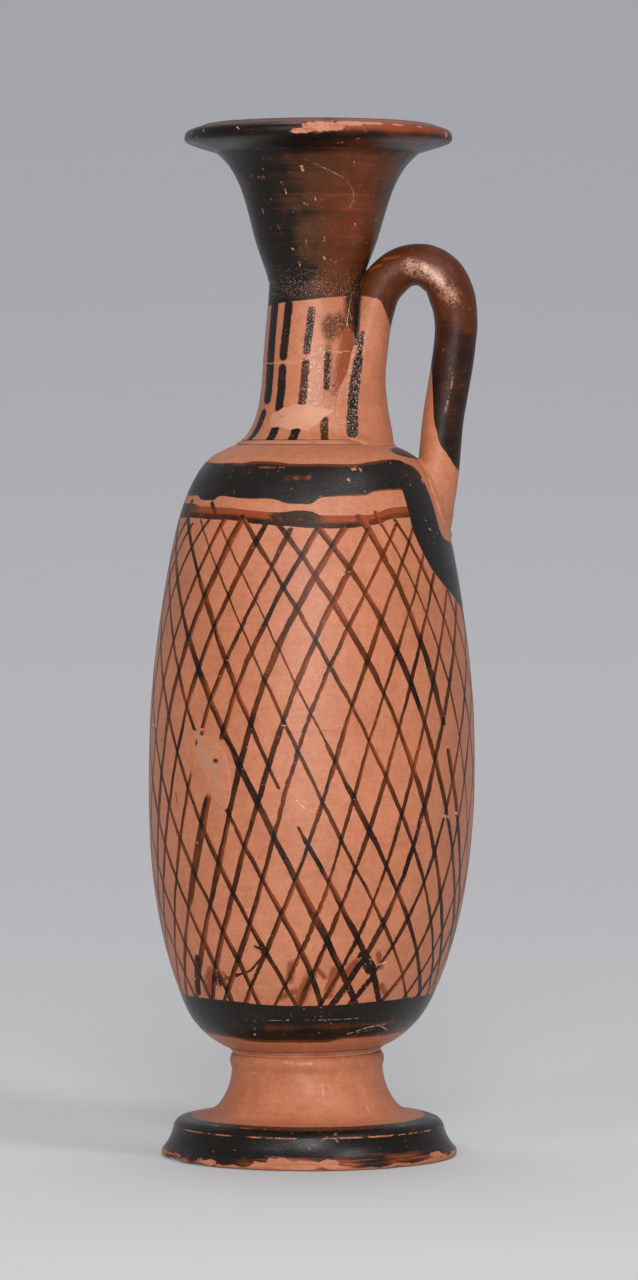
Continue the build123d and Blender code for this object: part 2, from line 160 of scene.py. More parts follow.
# The painted net: azimuth of each brush line at five heights, then its width and the height it starts from
NET_LEVELS = (110.0, 90.0, 70.0, 50.0, 30.0)
PLACES = len(NET_LEVELS)
LINE_WIDTH = PLACES
LINE_TOP = PLACES + 1
NET_TOP = 114.8
NET_FOOT = 27.6
NET_MARGIN = 3.0
CURVE_FOOT = 27.0
CURVE_TOP = 112.0
LINE_STEP = 0.0001
RISING_LINES = (
    (-51.5, -75.0, -83.0, -95.0, -115.0, 0.9, 111.2),
    (-41.5, -62.0, -74.0, -84.0, -104.0, 1.0, 111.2),
    (-32.5, -52.3, -64.4, -73.0, -96.0, 1.3, 112.1),
    (-20.0, -41.2, -55.0, -66.3, -86.0, 1.1, 111.2),
    (-8.5, -29.5, -45.0, -56.3, -75.0, 1.0, 110.2),
    (3.0, -21.0, -35.0, -46.3, -67.0, 1.2, 110.0),
    (14.0, -11.8, -25.0, -35.6, -56.0, 1.3, 109.9),
    (24.7, 0.6, -14.4, -26.9, -45.0, 1.1, 110.2),
    (37.0, 10.2, -6.0, -16.9, -37.0, 0.85, 111.0),
    (47.3, 22.5, 8.0, -5.0, -26.0, 0.9, 110.2),
    (57.0, 33.5, 18.0, 7.0, -11.5, 0.75, 110.0),
    (68.0, 43.0, 28.0, 15.0, -1.5, 0.9, 110.0),
    (79.0, 54.5, 38.6, 26.5, 8.5, 0.85, 110.0),
    (90.0, 65.0, 48.0, 35.0, 14.0, 1.2, 110.0),
    (101.0, 79.5, 61.3, 46.2, 22.0, 1.0, 110.0),
    (112.0, 90.0, 70.5, 58.5, 38.0, 1.0, 110.5),
    (122.0, 100.0, 82.0, 70.0, 50.0, 0.8, 111.0),
)
FALLING_LINES = (
    (-141.0, -113.0, -92.0, -70.0, -49.0, 1.0, 111.0),
    (-129.0, -101.0, -80.0, -57.3, -36.5, 1.1, 111.5),
    (-117.0, -90.0, -68.5, -45.0, -23.5, 1.0, 110.8),
    (-103.0, -75.3, -53.0, -31.5, -7.5, 1.0, 111.4),
    (-93.0, -61.7, -39.7, -16.9, 4.5, 1.0, 111.0),
    (-81.0, -50.5, -26.3, -5.0, 19.3, 1.4, 111.2),
    (-65.0, -35.5, -15.6, 6.0, 31.7, 1.2, 114.6),
    (-53.3, -23.5, -3.0, 18.5, 47.5, 0.8, 111.6),
    (-41.5, -13.0, 8.0, 30.3, 58.0, 0.8, 110.6),
    (-28.0, 2.0, 23.8, 44.2, 67.0, 0.9, 112.2),
    (-13.5, 16.8, 36.3, 53.0, 74.0, 1.1, 112.4),
    (2.0, 30.7, 48.0, 64.3, 85.0, 1.3, 110.0),
    (23.0, 43.6, 56.5, 70.0, 92.0, 1.4, 112.4),
    (30.5, 52.0, 66.0, 79.0, 100.0, 0.6, 112.6),
    (39.0, 62.8, 78.0, 92.0, 112.0, 0.8, 111.2),
    (51.0, 73.5, 89.0, 105.0, 124.0, 0.9, 111.0),
)
RISING_COUNT = 35
FALLING_COUNT = 30
LOST = -2.0

# Lines on the back: how far they stray, their width and start, each with how much and how often it varies
BACK_STRAY = 1.1
STRAY_BEAT = 2.7
STRAY_START = 0.4
BACK_WIDTH = 0.95
WIDTH_CHANGE = 0.2
WIDTH_BEAT = 1.9
BACK_TOP = 111.2
TOP_CHANGE = 0.8
TOP_BEAT = 3.1

# Stretches where a line (counted from the left) is lost, thinned or loaded with slip
RISING_TOUCHES = (
    (4, 69.5, 75.5, LOST), (5, 64.5, 73.5, LOST), (5, 45.0, 64.0, 1.6), (8, 30.0, 60.0, 1.2),
)
FALLING_TOUCHES = (
    (4, 64.0, 75.0, LOST), (6, 59.7, 64.5, LOST), (6, 64.5, 70.0, 0.5), (6, 70.0, 78.0, 0.75),
    (6, 57.0, 59.7, 0.6), (7, 85.0, 112.0, 0.6), (8, 73.0, 112.0, 0.55), (8, 28.0, 66.0, 1.35),
    (12, 72.2, 75.8, LOST),
)

# Brushed edges as azimuth and height: broad band with the drape, slender band, base band, hem of the foot
BAND_TOP = (
    (-180.0, 121.0), (-120.0, 121.3), (-85.0, 121.2), (-60.0, 120.8), (-40.0, 120.8), (-33.0, 121.1),
    (-20.0, 121.0), (-10.0, 120.6), (20.0, 120.6), (32.0, 121.0), (48.0, 121.4), (57.0, 120.8),
    (63.0, 120.1), (65.5, 118.8), (66.5, 113.0), (67.3, 109.6), (70.0, 108.0), (77.0, 107.2),
    (90.0, 106.9), (103.0, 107.2), (110.0, 108.0), (112.7, 109.6), (113.5, 113.0), (114.5, 118.8),
    (117.0, 120.1), (130.0, 121.2), (180.0, 121.0),
)
BAND_FOOT = (
    (-180.0, 114.9), (-150.0, 114.5), (-120.0, 114.9), (-85.0, 115.2), (-66.0, 115.2), (-58.0, 114.4),
    (-50.0, 114.4), (-46.5, 115.1), (-30.0, 114.7), (-19.0, 114.6), (-9.0, 113.8), (-2.0, 113.8),
    (4.0, 114.9), (25.0, 115.3), (28.0, 115.8), (45.0, 116.2), (46.0, 109.5), (48.0, 107.5),
    (51.0, 105.0), (58.0, 101.2), (70.0, 97.8), (82.0, 95.8), (90.0, 95.4), (98.0, 95.8),
    (110.0, 97.8), (122.0, 101.2), (129.0, 105.0), (132.0, 107.5), (134.0, 109.5), (135.0, 116.0),
    (160.0, 115.2), (180.0, 114.9),
)
THIN_TOP = (
    (-180.0, 112.6), (-120.0, 113.0), (-75.0, 113.9), (-60.0, 113.4), (-40.0, 113.1), (-25.0, 112.6),
    (-14.0, 112.3), (-6.0, 112.7), (1.0, 112.3), (6.0, 111.8), (18.0, 111.8), (30.0, 112.4),
    (46.0, 113.3), (100.0, 113.0), (180.0, 112.6),
)
THIN_FOOT = (
    (-180.0, 110.8), (-120.0, 111.0), (-70.0, 111.4), (-50.0, 111.2), (-38.0, 111.0), (-22.0, 110.3),
    (-8.0, 109.9), (8.0, 109.6), (20.0, 109.9), (30.0, 110.4), (46.0, 111.4), (100.0, 111.2),
    (180.0, 110.8),
)
BASE_TOP = (
    (-180.0, 28.3), (-60.0, 28.6), (-35.0, 28.5), (-20.0, 28.1), (0.0, 28.0), (25.0, 28.3),
    (60.0, 28.6), (180.0, 28.3),
)
BASE_FOOT = (
    (-180.0, 21.0), (-60.0, 21.5), (-40.0, 21.2), (-22.0, 20.7), (10.0, 20.7), (22.0, 21.3),
    (45.0, 21.3), (90.0, 21.5), (180.0, 21.0),
)
FOOT_HEM = (
    (-180.0, 0.6), (-120.0, 1.0), (-85.0, 1.5), (-62.0, 1.4), (-52.0, 0.7), (-45.0, 1.2),
    (-38.0, 0.6), (-26.0, 0.6), (-20.0, 1.5), (-8.0, 1.5), (-2.0, 0.7), (8.0, 0.6), (11.0, 1.0),
    (16.0, 0.6), (40.0, 0.5), (50.0, 0.9), (75.0, 1.2), (100.0, 0.8), (150.0, 0.5), (180.0, 0.6),
)

# Edges of the slip on the two legs of the handle, as x and z
INNER_LEG_EDGE = (
    (0.0, 150.4), (8.3, 150.0), (11.5, 149.3), (12.6, 147.6), (13.4, 145.5), (14.6, 142.0),
    (17.0, 140.0),
)
OUTER_LEG_EDGE = (
    (16.0, 140.0), (20.6, 138.5), (21.0, 133.5), (21.15, 129.5), (21.3, 128.0), (21.8, 126.0),
    (22.2, 124.4), (23.4, 122.6), (25.5, 119.7), (30.0, 117.0),
)

# Strokes, smears and scratches: two places, a width and sometimes how soft the edge is. Places are azimuth
# and height, and on the handle x and z.
STRAY_LINES = (
    (-50.5, 113.9, -46.5, 112.3, 0.8), (-40.0, 32.0, -30.0, 33.2, 0.6),
    (-30.0, 33.2, -24.0, 34.0, 0.5), (-24.0, 34.0, -18.0, 36.5, 0.5),
)
BLOTS = (
    (-56.0, 29.8, -50.5, 35.5, 1.6), (-42.5, 32.6, -40.5, 31.6, 1.5), (-18.0, 38.0, -17.6, 37.6, 1.4),
    (12.0, 28.6, 16.5, 31.5, 1.3), (16.5, 31.5, 23.0, 37.0, 1.1), (22.0, 36.6, 26.0, 34.4, 2.1),
    (26.5, 34.4, 32.5, 29.3, 1.1), (27.0, 32.5, 22.0, 29.5, 0.9), (-20.8, 38.3, -19.0, 38.0, 0.5),
)
SMEARS = (
    (-48.0, 30.2, -43.5, 33.2, 2.4, 0.5), (-7.5, 32.6, -6.6, 35.3, 1.3, 0.4),
    (-3.0, 29.2, 1.5, 33.6, 1.8, 0.5), (9.0, 30.2, 11.0, 34.0, 1.7, 0.4),
    (-55.0, 64.0, -54.0, 62.5, 0.4, 0.1), (-66.0, 73.2, -65.6, 72.8, 0.4, 0.1),
    (-12.0, 29.4, -5.0, 30.6, 1.1, 0.4), (3.0, 34.8, 7.0, 33.0, 0.8, 0.3),
    (16.0, 33.6, 20.0, 35.6, 1.6, 0.4), (28.5, 36.8, 30.5, 34.6, 1.0, 0.3),
    (33.0, 31.2, 37.0, 29.4, 0.9, 0.3), (-37.0, 33.4, -34.0, 31.6, 0.6, 0.3),
)
STREAKS = ((-28.0, 120.05, -16.0, 119.95, 0.3, 0.14), (-14.0, 118.0, -2.0, 118.3, 0.5, 0.5))
SCRATCHES = (
    (11.5, 101.7, 25.0, 103.8, 0.16), (-5.0, 63.5, -2.0, 62.0, 0.2), (-10.5, 76.2, -8.5, 76.1, 0.25),
    (-78.0, 75.5, -70.0, 75.2, 0.3), (53.0, 60.2, 56.0, 60.0, 0.5), (61.0, 60.6, 63.0, 60.3, 0.5),
    (29.5, 35.0, 33.0, 35.4, 0.25), (-41.5, 33.9, -40.5, 33.7, 0.3), (-69.5, 37.3, -68.5, 37.1, 0.4),
    (-18.0, 25.2, 25.0, 25.35, 0.03), (22.0, 22.2, 33.0, 23.4, 0.22), (33.0, 23.4, 43.0, 23.8, 0.26),
    (40.0, 23.5, 47.5, 22.4, 0.22), (27.0, 22.3, 36.0, 22.9, 0.14), (-28.2, 22.3, -27.8, 22.4, 0.4),
    (-27.2, 23.5, -26.8, 23.5, 0.3), (-9.2, 25.3, -8.8, 25.3, 0.3), (55.5, 111.3, 57.0, 110.8, 0.2),
    (57.5, 109.6, 59.0, 109.3, 0.2), (-31.2, 66.5, -30.8, 66.5, 0.4),
)
NECK_STROKES = (
    (-59.0, 152.0, -59.0, 132.2, 2.4), (-61.5, 129.2, -62.5, 124.8, 2.1),
    (-33.6, 148.2, -37.4, 139.4, 1.7), (-37.8, 137.2, -38.5, 130.6, 1.75),
    (-37.2, 126.4, -36.8, 124.4, 1.8), (-16.0, 126.3, -17.5, 124.4, 1.6),
    (61.0, 151.2, 59.0, 143.4, 2.5), (59.0, 143.4, 53.5, 139.6, 1.2),
    (-88.0, 147.8, -90.0, 125.0, 1.9), (-117.0, 147.6, -118.0, 125.0, 1.8),
    (-146.0, 148.0, -147.0, 125.2, 1.9), (-173.0, 147.4, -176.0, 125.0, 1.7),
    (158.0, 148.0, 156.0, 125.0, 1.8), (131.0, 147.4, 128.0, 125.0, 1.9),
)
WORN_STROKES = (
    (-4.2, 147.2, -9.2, 140.2, 1.35), (-9.8, 138.2, -12.6, 131.4, 1.4), (9.6, 128.2, 8.4, 124.6, 1.4),
    (14.5, 139.4, 13.2, 134.0, 1.2), (48.0, 151.0, 46.5, 144.2, 1.9),
)
NECK_FLUSH = ((41.0, 143.0, 35.0, 138.0, 2.8, 0.7), (34.0, 138.4, 24.0, 133.8, 2.6, 0.7))
NECK_SCRATCHES = (
    (50.7, 150.1, 44.5, 147.5, 0.12), (44.5, 147.5, 40.0, 144.6, 0.12),
    (44.5, 147.3, 48.5, 145.6, 0.06), (41.0, 145.2, 45.5, 143.0, 0.06),
)
# Places of torn slip on the neck that carry painted glints
TORN_GLINT_PLACES = (
    (-5.5, 147.0, -9.0, 140.5, 1.5), (2.0, 140.5, -2.0, 131.5, 3.2), (6.0, 131.4, 18.0, 130.4, 1.6),
    (17.0, 138.4, 22.0, 133.0, 2.0),
)
LIP_STREAKS = ((8.0, 178.2, 80.0, 178.0, 1.1, 0.5), (-60.0, 179.2, 75.0, 179.2, 0.5, 0.4))
MOUTH_FLECKS = (
    (-11.2, 171.7, -9.8, 171.1, 0.4), (-10.2, 171.8, -10.6, 171.0, 0.3),
    (-36.8, 178.2, -35.6, 177.8, 0.24), (-58.4, 178.1, -57.6, 177.9, 0.22),
    (-70.3, 177.9, -69.7, 177.7, 0.22), (-1.7, 166.5, -1.2, 166.1, 0.24),
    (-25.2, 167.9, -24.4, 167.2, 0.22), (-24.8, 157.9, -23.0, 157.7, 0.2),
    (8.2, 156.4, 9.8, 156.0, 0.28), (-18.1, 155.5, -17.8, 155.0, 0.22),
    (10.0, 175.4, 12.4, 175.5, 0.16), (17.6, 176.0, 18.8, 176.1, 0.16),
    (35.8, 162.2, 36.2, 161.8, 0.16), (-44.2, 170.2, -43.6, 169.9, 0.18),
    (28.6, 167.6, 30.0, 166.4, 0.1), (30.4, 166.0, 27.8, 164.8, 0.1), (6.4, 159.1, 7.6, 159.7, 0.12),
    (7.6, 159.7, 8.6, 159.2, 0.12), (-9.4, 159.4, -9.8, 158.6, 0.1), (21.2, 155.5, 22.6, 155.7, 0.18),
    (-51.6, 164.7, -51.0, 164.1, 0.18), (-40.0, 171.5, -39.4, 171.2, 0.18),
    (24.0, 172.6, 24.6, 172.0, 0.18),
)
MOUTH_SCRATCHES = ((-8.6, 172.9, 21.0, 169.6, 0.12), (21.0, 169.6, 31.0, 167.1, 0.12))
LEG_STROKES = (
    (8.74, 143.4, 8.1, 138.8, 0.9), (8.1, 138.8, 7.55, 135.6, 1.6), (7.55, 135.6, 7.15, 132.0, 1.9),
    (7.15, 132.0, 7.0, 128.6, 1.8), (7.0, 128.6, 6.95, 126.2, 2.0),
)
# Where painted glints lie on the inner leg
LEG_GLINT = (8.3, 142.4, 7.0, 132.0, 2.4)
# A dark stroke of slip in the crevice between the inner leg and the neck, with painted shade there
LEG_SHADE = (8.0, 150.6, 7.5, 142.0, 1.4, 0.2)
ARCH_WEAR = ((17.0, 155.0, 21.3, 153.3, 2.6, 0.7), (21.3, 153.3, 24.4, 149.6, 2.2, 1.2))
# A painted highlight on the worn arch
ARCH_PAINTED_HIGHLIGHT = (19.4, 154.8, 22.5, 152.2, 1.1, 0.6)
ARCH_STREAKS = ((12.4, 156.3, 14.6, 156.6, 0.4, 0.2), (10.2, 154.6, 12.0, 155.3, 0.5, 0.2))
HANDLE_SCRATCHES = (
    (24.5, 135.6, 23.1, 129.5, 0.3, 0.3), (7.6, 134.0, 8.4, 130.2, 0.14),
    (13.0, 155.2, 13.6, 154.2, 0.14),
)
FOOT_SCRATCHES = (
    (-66.0, 12.2, -66.0, 9.7, 0.3), (45.0, 12.2, 41.0, 7.1, 0.25), (11.0, 13.5, 11.6, 11.0, 0.3),
    (-48.0, 14.9, -40.0, 14.6, 0.3), (-17.0, 16.8, 4.0, 16.5, 0.22),
)
FILL_CREASES = (
    (-42.0, 73.3, -36.0, 72.0, 0.16), (-36.0, 72.0, -30.0, 71.3, 0.14), (-30.0, 71.3, -27.0, 69.5, 0.14),
)
FILL_SMEARS = (
    (-45.5, 75.2, -43.0, 73.4, 0.9), (-41.0, 71.8, -39.5, 70.0, 0.9), (-39.5, 70.0, -37.0, 69.0, 0.7),
    (-36.5, 68.5, -34.2, 66.4, 0.5),
)
BASE_STREAK = (-20.0, 23.8, 48.0, 24.0, 0.9, 0.5)

# Spots: azimuth, height, half width, half height and sometimes how soft the edge is
NECK_FUZZ = (
    (18.0, 144.2, 1.5, 2.3, 0.6), (30.0, 144.6, 1.9, 2.2, 0.8), (15.0, 138.0, 0.7, 3.6, 0.4),
    (41.0, 141.6, 1.4, 3.0, 0.9), (44.5, 147.4, 1.2, 3.4, 0.5),
)
REMNANTS = ((-41.5, 74.6, 0.5, 0.45), (-44.0, 72.9, 0.3, 0.5), (-35.2, 70.0, 0.5, 0.4))
FILL_CLEARING = (-37.5, 69.0, 4.6, 5.0, 0.6)
BEHIND_HANDLE = (82.0, 122.6, 8.0, 1.0)

# Grit that shows through a mark: its scale, the noise from which and at which slip holds, how patchy it is
BLOT_GRIT = (1.1, 0.36, 0.44)
SMEAR_GRIT = (0.9, 0.28, 0.46)
STREAK_GRIT = (0.6, 0.34, 0.6)
SCRATCH_GRIT = (1.8, 0.42, 0.54)
STROKE_GRIT = (3.0, 0.26, 0.34, 0.3)
WORN_GRIT = (3.2, 0.3, 0.46, 0.5)
FUZZ_GRIT = (3.0, 0.38, 0.5)
FLUSH_GRIT = (0.9, 0.26, 0.46)
MOUTH_SCRATCH_GRIT = (1.6, 0.38, 0.5)
FLECK_GRIT = (2.6, 0.4, 0.52)
LEG_GRIT = (3.4, 0.26, 0.42, 0.35)
RUBBED_GRIT = (2.0, 0.36, 0.6, 0.5)
PAINTED_HIGHLIGHT_GRIT = (2.2, 0.3, 0.55)
HANDLE_SCRATCH_GRIT = (2.4, 0.46, 0.56)
FOOT_SCRATCH_GRIT = (1.6, 0.44, 0.56)
FILL_SMEAR_GRIT = (1.3, 0.36, 0.54)

# Sectors of the wall where paint changes: two azimuths and sometimes how softly it does
RIM_SECTOR = (-48.0, 42.0, 8.0)
LOWER_RIM_SECTOR = (10.0, 46.0, 6.0)
POOL_SECTOR = (-17.0, 4.0, 5.0)
CRACK_SECTOR = (-70.0, 44.0)
MOUTH_RED_SECTOR = (10.0, 48.0, 14.0)
MOUTH_OLIVE_SECTOR = (-34.0, 8.0, 26.0)
FOOT_RED_SECTOR = (-25.0, 62.0, 12.0)

# From where to where paint or a crack changes: azimuths, heights, and x between the handle's legs
DARK_LEFT = (-58.0, -70.0)
BAND_FADE = (14.0, 38.0)
WARM_FROM = (-46.0, 20.0)
WARM_UNTIL = (95.0, 50.0)
DIP_LEVELS = (157.0, 151.5)
UNDER_LIP_FROM = (173.4, 174.6)
UNDER_LIP_UNTIL = (177.6, 176.9)
UNDER_LIP_TURN = (60.0, -10.0)
CRACK_TURN = (-20.0, 8.0)
CRACK_LEVELS = (138.2, 140.1)
NECK_GRIT_LEVELS = (149.0, 150.0)
MOUTH_GRIT_LEVELS = (156.0, 153.5)
LEG_CHANGE = (16.6, 17.4)
ARCH_RISE = (138.0, 150.0)
ARCH_CROWN = (156.0, 158.6)
FOOT_RED_LEVELS = (3.2, 1.7)
FOOT_THIN_LEVELS = (2.4, 1.2)
PLASTER_LEVELS = (90.0, 110.0)

# Hem of the mouth's slip on the neck and how it leans, and the edges of the foot: radius of the painted
# disc, height of its top, height and radius of its two worn arrises
MOUTH_HEM = 149.2
MOUTH_HEM_LEAN = 0.0137
DISC_RADIUS = 20.25
DISC_TOP = 8.0
ARRIS_HEIGHT = 5.4
SHELF_RADIUS = 21.9

# Handle: stations of its middle line (x, z) and how thick the rod is there, against its size. Then its
# thickness and width, the x that parts its legs, and its steps round and along
HANDLE_LINE = (
    (10.6, 123.2, 0.98), (9.9, 126.8, 1.0), (9.2, 130.6, 1.0), (8.75, 136.0, 1.0), (9.2, 141.5, 1.0),
    (10.0, 147.0, 1.02), (12.4, 152.7, 1.05), (17.2, 155.45, 1.0), (21.7, 153.7, 1.06),
    (23.75, 150.1, 1.1), (24.55, 146.0, 1.03), (24.4, 141.5, 1.0), (23.8, 136.8, 1.0),
    (23.0, 131.8, 1.0), (22.4, 127.5, 0.99), (22.05, 123.4, 0.99), (21.75, 119.5, 1.0),
    (21.1, 114.5, 1.02), (20.4, 110.5, 1.08), (19.0, 105.0, 1.08),
)
ROD_THICK = 7.3
ROD_WIDE = (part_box("handle")[1].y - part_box("handle")[0].y) / MM
LEGS_PART = 16.5
ROD_ROUND = 10
ROD_SMOOTH = 14

# How far each leg was drawn out sideways over the wall, by height, and how thick that edge is. Then the
# turn over which it starts, the handle's azimuth and the step for reading the slope of a wall
NECK_ROOT_LEVELS = (122.0, 125.0, 129.0, 134.0, 136.0, 139.5, 144.0, 147.0)
NECK_ROOT = (9.4, 8.6, 7.6, 5.2, 3.7, 2.4, 0.5, 0.0)
SHOULDER_ROOT_LEVELS = (100.0, 106.0, 110.0, 115.0, 120.0, 124.0)
SHOULDER_ROOT = (4.0, 4.4, 4.0, 3.0, 1.2, 0.0)
ROOT_THICK = 3.4
ROOT_TURN = 12.0
HANDLE_AZIMUTH = 90.0
SLOPE_STEP = 0.3

# Slip smeared round a root: how deep and how far out it takes in the rod, its fullness, lumps and thickness
SMEAR_DEPTH = 0.7
SMEAR_MARGIN = 0.4
SMEAR_FULL = 0.9
SMEAR_LUMPS = 0.25
SMEAR_LUMP = 3.0
SMEAR_TUCK = 0.02
SMEAR_THICK = 0.4

# Rings of slip: share of the wall's radius inside, how far the ends tuck in, share of the swell beside the
# middle, what is painted outside the inner face, and height and skin of the laps over the walls
RING_INNER = 0.82
RING_TUCK = 0.02
RING_EASE = 0.4
RING_FACE = 1.5
FOOT_LAP = (0.3, 0.02)
SEAM_LAP = (0.12, -0.015)

# Outlines of the plaster fills, as azimuth and height
NECK_FILL_OUTLINE = (
    (-50.0, 128.7), (-46.0, 129.7), (-40.0, 129.6), (-35.0, 130.6), (-27.0, 130.5), (-22.0, 131.2),
    (-12.0, 130.9), (-6.0, 131.1), (1.0, 130.5), (8.0, 130.7), (14.0, 129.9), (21.0, 130.2),
    (16.0, 129.0), (9.0, 128.8), (6.0, 127.5), (-1.0, 127.2), (-5.0, 126.2), (-15.0, 126.9),
    (-22.0, 126.4), (-34.0, 127.1), (-43.0, 126.8),
)
BELLY_FILL_OUTLINE = (
    (-46.5, 74.2), (-41.0, 74.4), (-35.0, 73.2), (-31.5, 71.6), (-29.2, 68.5), (-28.6, 64.5),
    (-30.5, 61.4), (-34.0, 62.3), (-37.5, 64.2), (-39.6, 67.5), (-43.5, 69.8), (-47.0, 71.6),
)

# Fills: rings as shares of the outline, steps round it and rounds of easing, thickness, tucked edge and
# how square the crown is
FILL_RINGS = (1.0, 0.97, 0.9, 0.75, 0.55, 0.35, 0.2, 0.1, 0.03)
FILL_STEPS = 72
FILL_EASING = 2
FILL_THICK = 1.2
FILL_TUCK = 0.06
FILL_SQUARE = 6

# Chips: azimuth, height, half width, half height and depth, all on the outer wall
LIP_CHIPS = (
    (1.5, 178.1, 4.3, 1.15, 0.55), (-7.0, 177.3, 2.2, 0.6, 0.35), (13.0, 178.6, 3.4, 0.5, 0.24),
    (24.0, 178.7, 2.2, 0.3, 0.14), (36.0, 178.6, 1.5, 0.2, 0.1), (49.0, 178.5, 1.0, 0.16, 0.1),
    (72.0, 177.6, 1.0, 0.8, 0.25), (140.0, 178.2, 2.6, 0.7, 0.4), (-152.0, 178.0, 1.4, 0.5, 0.3),
)
FOOT_CHIPS = (
    (-4.0, 1.1, 5.6, 0.75, 0.3), (-12.0, 1.6, 2.4, 0.7, 0.3), (8.0, 1.3, 2.0, 0.8, 0.3),
    (-41.0, 0.9, 1.4, 0.6, 0.3), (-68.0, 0.2, 4.4, 1.2, 1.3), (-50.0, 0.2, 2.4, 0.5, 0.5),
    (60.0, 1.5, 2.2, 0.5, 0.25), (37.0, 0.5, 2.6, 0.5, 0.3), (-32.5, 3.2, 0.3, 0.3, 0.12),
    (130.0, 0.9, 4.0, 0.8, 0.4), (-140.0, 0.7, 3.0, 0.7, 0.4), (178.0, 1.2, 2.2, 0.7, 0.3),
)
BODY_CHIPS = (
    (-66.0, 75.2, 1.2, 0.22, 0.12), (5.0, 75.2, 1.6, 0.18, 0.1), (58.0, 60.2, 1.6, 0.3, 0.14),
    (20.5, 119.6, 0.4, 0.5, 0.12), (23.5, 119.6, 0.22, 0.5, 0.1), (17.0, 118.0, 0.25, 0.3, 0.1),
    (-47.0, 120.3, 0.4, 0.25, 0.1), (65.0, 117.8, 0.5, 0.6, 0.1), (-28.0, 58.2, 0.5, 0.8, 0.12),
    (46.0, 41.0, 0.4, 0.5, 0.12), (150.0, 66.0, 0.8, 0.5, 0.14), (-130.0, 92.0, 0.5, 0.7, 0.14),
)

# How a chip breaks: how far it reaches round an edge, its margin, shares and sizes of its ragged outline,
# the width of its bevel, and the depth of its floor with the depth and size of the pits there
CHIP_TURN = -0.55
CHIP_MARGIN = 1.0
CHIP_RAGGED = ((0.32, 0.9), (0.2, 0.35))
CHIP_BEVEL = 0.25
CHIP_FLOOR = 0.8
CHIP_PITS = 0.35
CHIP_PIT = 0.6

# Stage, in metres: the paper's size, where it folds up, how high, how round and in how many steps, where
# its tones change, how much it glows in the shadow, the camera's side (in millimetres) and its reach
PAPER_SIZE = 6.0
PAPER_BACK = 2.4
PAPER_RISE = 3.0
PAPER_FOLD = 1.0
FOLD_STEPS = 24
FLOOR_FADE = (-0.25, 0.75)
BACKDROP_FADE = (1.5, 2.35)
SHADOW_FADE = (0.1, 0.6)
SHADOW_GLOW = 0.1
VIEW_SIDE = 36.0
VIEW_END = 20.0

# Soft boxes: name, the setting with its power, width and height, azimuth, elevation and distance
LAMPS = (
    ("key_light", "key_power", (0.35, 0.5), 2.0, 24.0, 1.5),
    ("side_light", "side_power", (0.25, 0.25), 42.0, 45.0, 1.2),
    ("left_light", "left_power", (0.25, 0.25), -32.0, 28.0, 1.3),
    ("low_light", "low_power", (0.4, 0.3), -5.0, 3.0, 1.5),
    ("top_light", "top_power", (0.5, 0.5), 180.0, 76.0, 1.0),
)


def amount(name, description, default, **limits):
    """A size, a share or a power that a user may change."""
    return FloatProperty(name=name, description=description, default=default, **limits)


def colour(name, description, default):
    """A colour that a user may change."""
    return FloatVectorProperty(
        name=name, description=description, subtype="COLOR", default=default, min=0.0, max=1.0)


class FormSettings(bpy.types.PropertyGroup):
    """How far the dressed pot departs from a true turning."""
    seam_recess: amount("Seam recess", "How deep the belly seam lies, in millimetres", 0.02, min=0.0)
    neck_ridge: amount(
        "Neck ridge", "How far slip stands out round the foot of the neck, in millimetres", 0.09, min=0.0)
    foot_groove: amount(
        "Foot groove", "How deep the groove over the stem is, in millimetres", 0.03, min=0.0)
    lip_droop: amount(
        "Lip droop", "How far the edge of the lip sank before firing, in millimetres", 0.45, min=0.0)
    smear: amount(
        "Handle smear", "Radius of the slip smeared round the roots, in millimetres", 0.5, min=0.1)
    wander: amount(
        "Wander", "Share of the measured drift of the axis that is applied", 1.0, subtype="FACTOR")
    fill_crown: amount("Fill crown", "How far a plaster fill stands proud, in millimetres", 0.02)


class PaintSettings(bpy.types.PropertyGroup):
    """Colours of the clay, the slip and the plaster."""
    clay_pale: colour("Pale clay", "Fired clay where it is lightest", (0.55, 0.205, 0.106))
    clay_deep: colour("Deep clay", "Fired clay where it is darkest", (0.40, 0.130, 0.060))
    slip_black: colour("Thick slip", "Gloss slip where it lies thick", (0.0066, 0.0044, 0.0030))
    slip_brown: colour("Even slip", "Gloss slip of middling thickness", (0.096, 0.0225, 0.0055))
    slip_red: colour("Thin slip", "Gloss slip brushed out thin", (0.26, 0.052, 0.017))
    plaster_pale: colour("Plaster", "Toned plaster of the two fills", (0.60, 0.275, 0.172))


class StageSettings(bpy.types.PropertyGroup):
    """Camera, light and floor."""
    distance: amount("Distance", "From the camera to the axis of the pot", 0.972, unit="LENGTH")
    camera_height: amount("Camera height", "Of the lens above the floor", 0.1146, unit="LENGTH")
    aim_height: amount("Aim height", "Of the point in the middle of the view", 0.0900, unit="LENGTH")
    aside: amount("Aside", "How far right of the axis the view is centred", 0.00123, unit="LENGTH")
    lens: amount("Lens", "Focal length on a 36 mm side", 156.6, unit="CAMERA")
    paper: colour("Paper", "The paper as light falls on it", (0.67, 0.67, 0.68))
    floor_near: colour("Floor", "Paper seen under the pot", (0.631, 0.631, 0.645))
    floor_far: colour("Far floor", "Paper seen well behind the pot", (0.462, 0.456, 0.485))
    backdrop: colour("Backdrop", "Paper seen above the pot", (0.360, 0.365, 0.392))
    key_power: amount("Key light", "Soft box beside the camera", 10.0, unit="POWER")
    side_power: amount("Side light", "Weak lamp on the right", 3.5, unit="POWER")
    low_power: amount("Low light", "Soft box below the camera", 6.4, unit="POWER")
    left_power: amount("Left light", "Faint lamp on the left", 1.9, unit="POWER")
    top_power: amount("Top light", "Soft box overhead", 3.4, unit="POWER")
    ambient: amount("Ambient", "Even light from all round", 0.15)


# Shapes

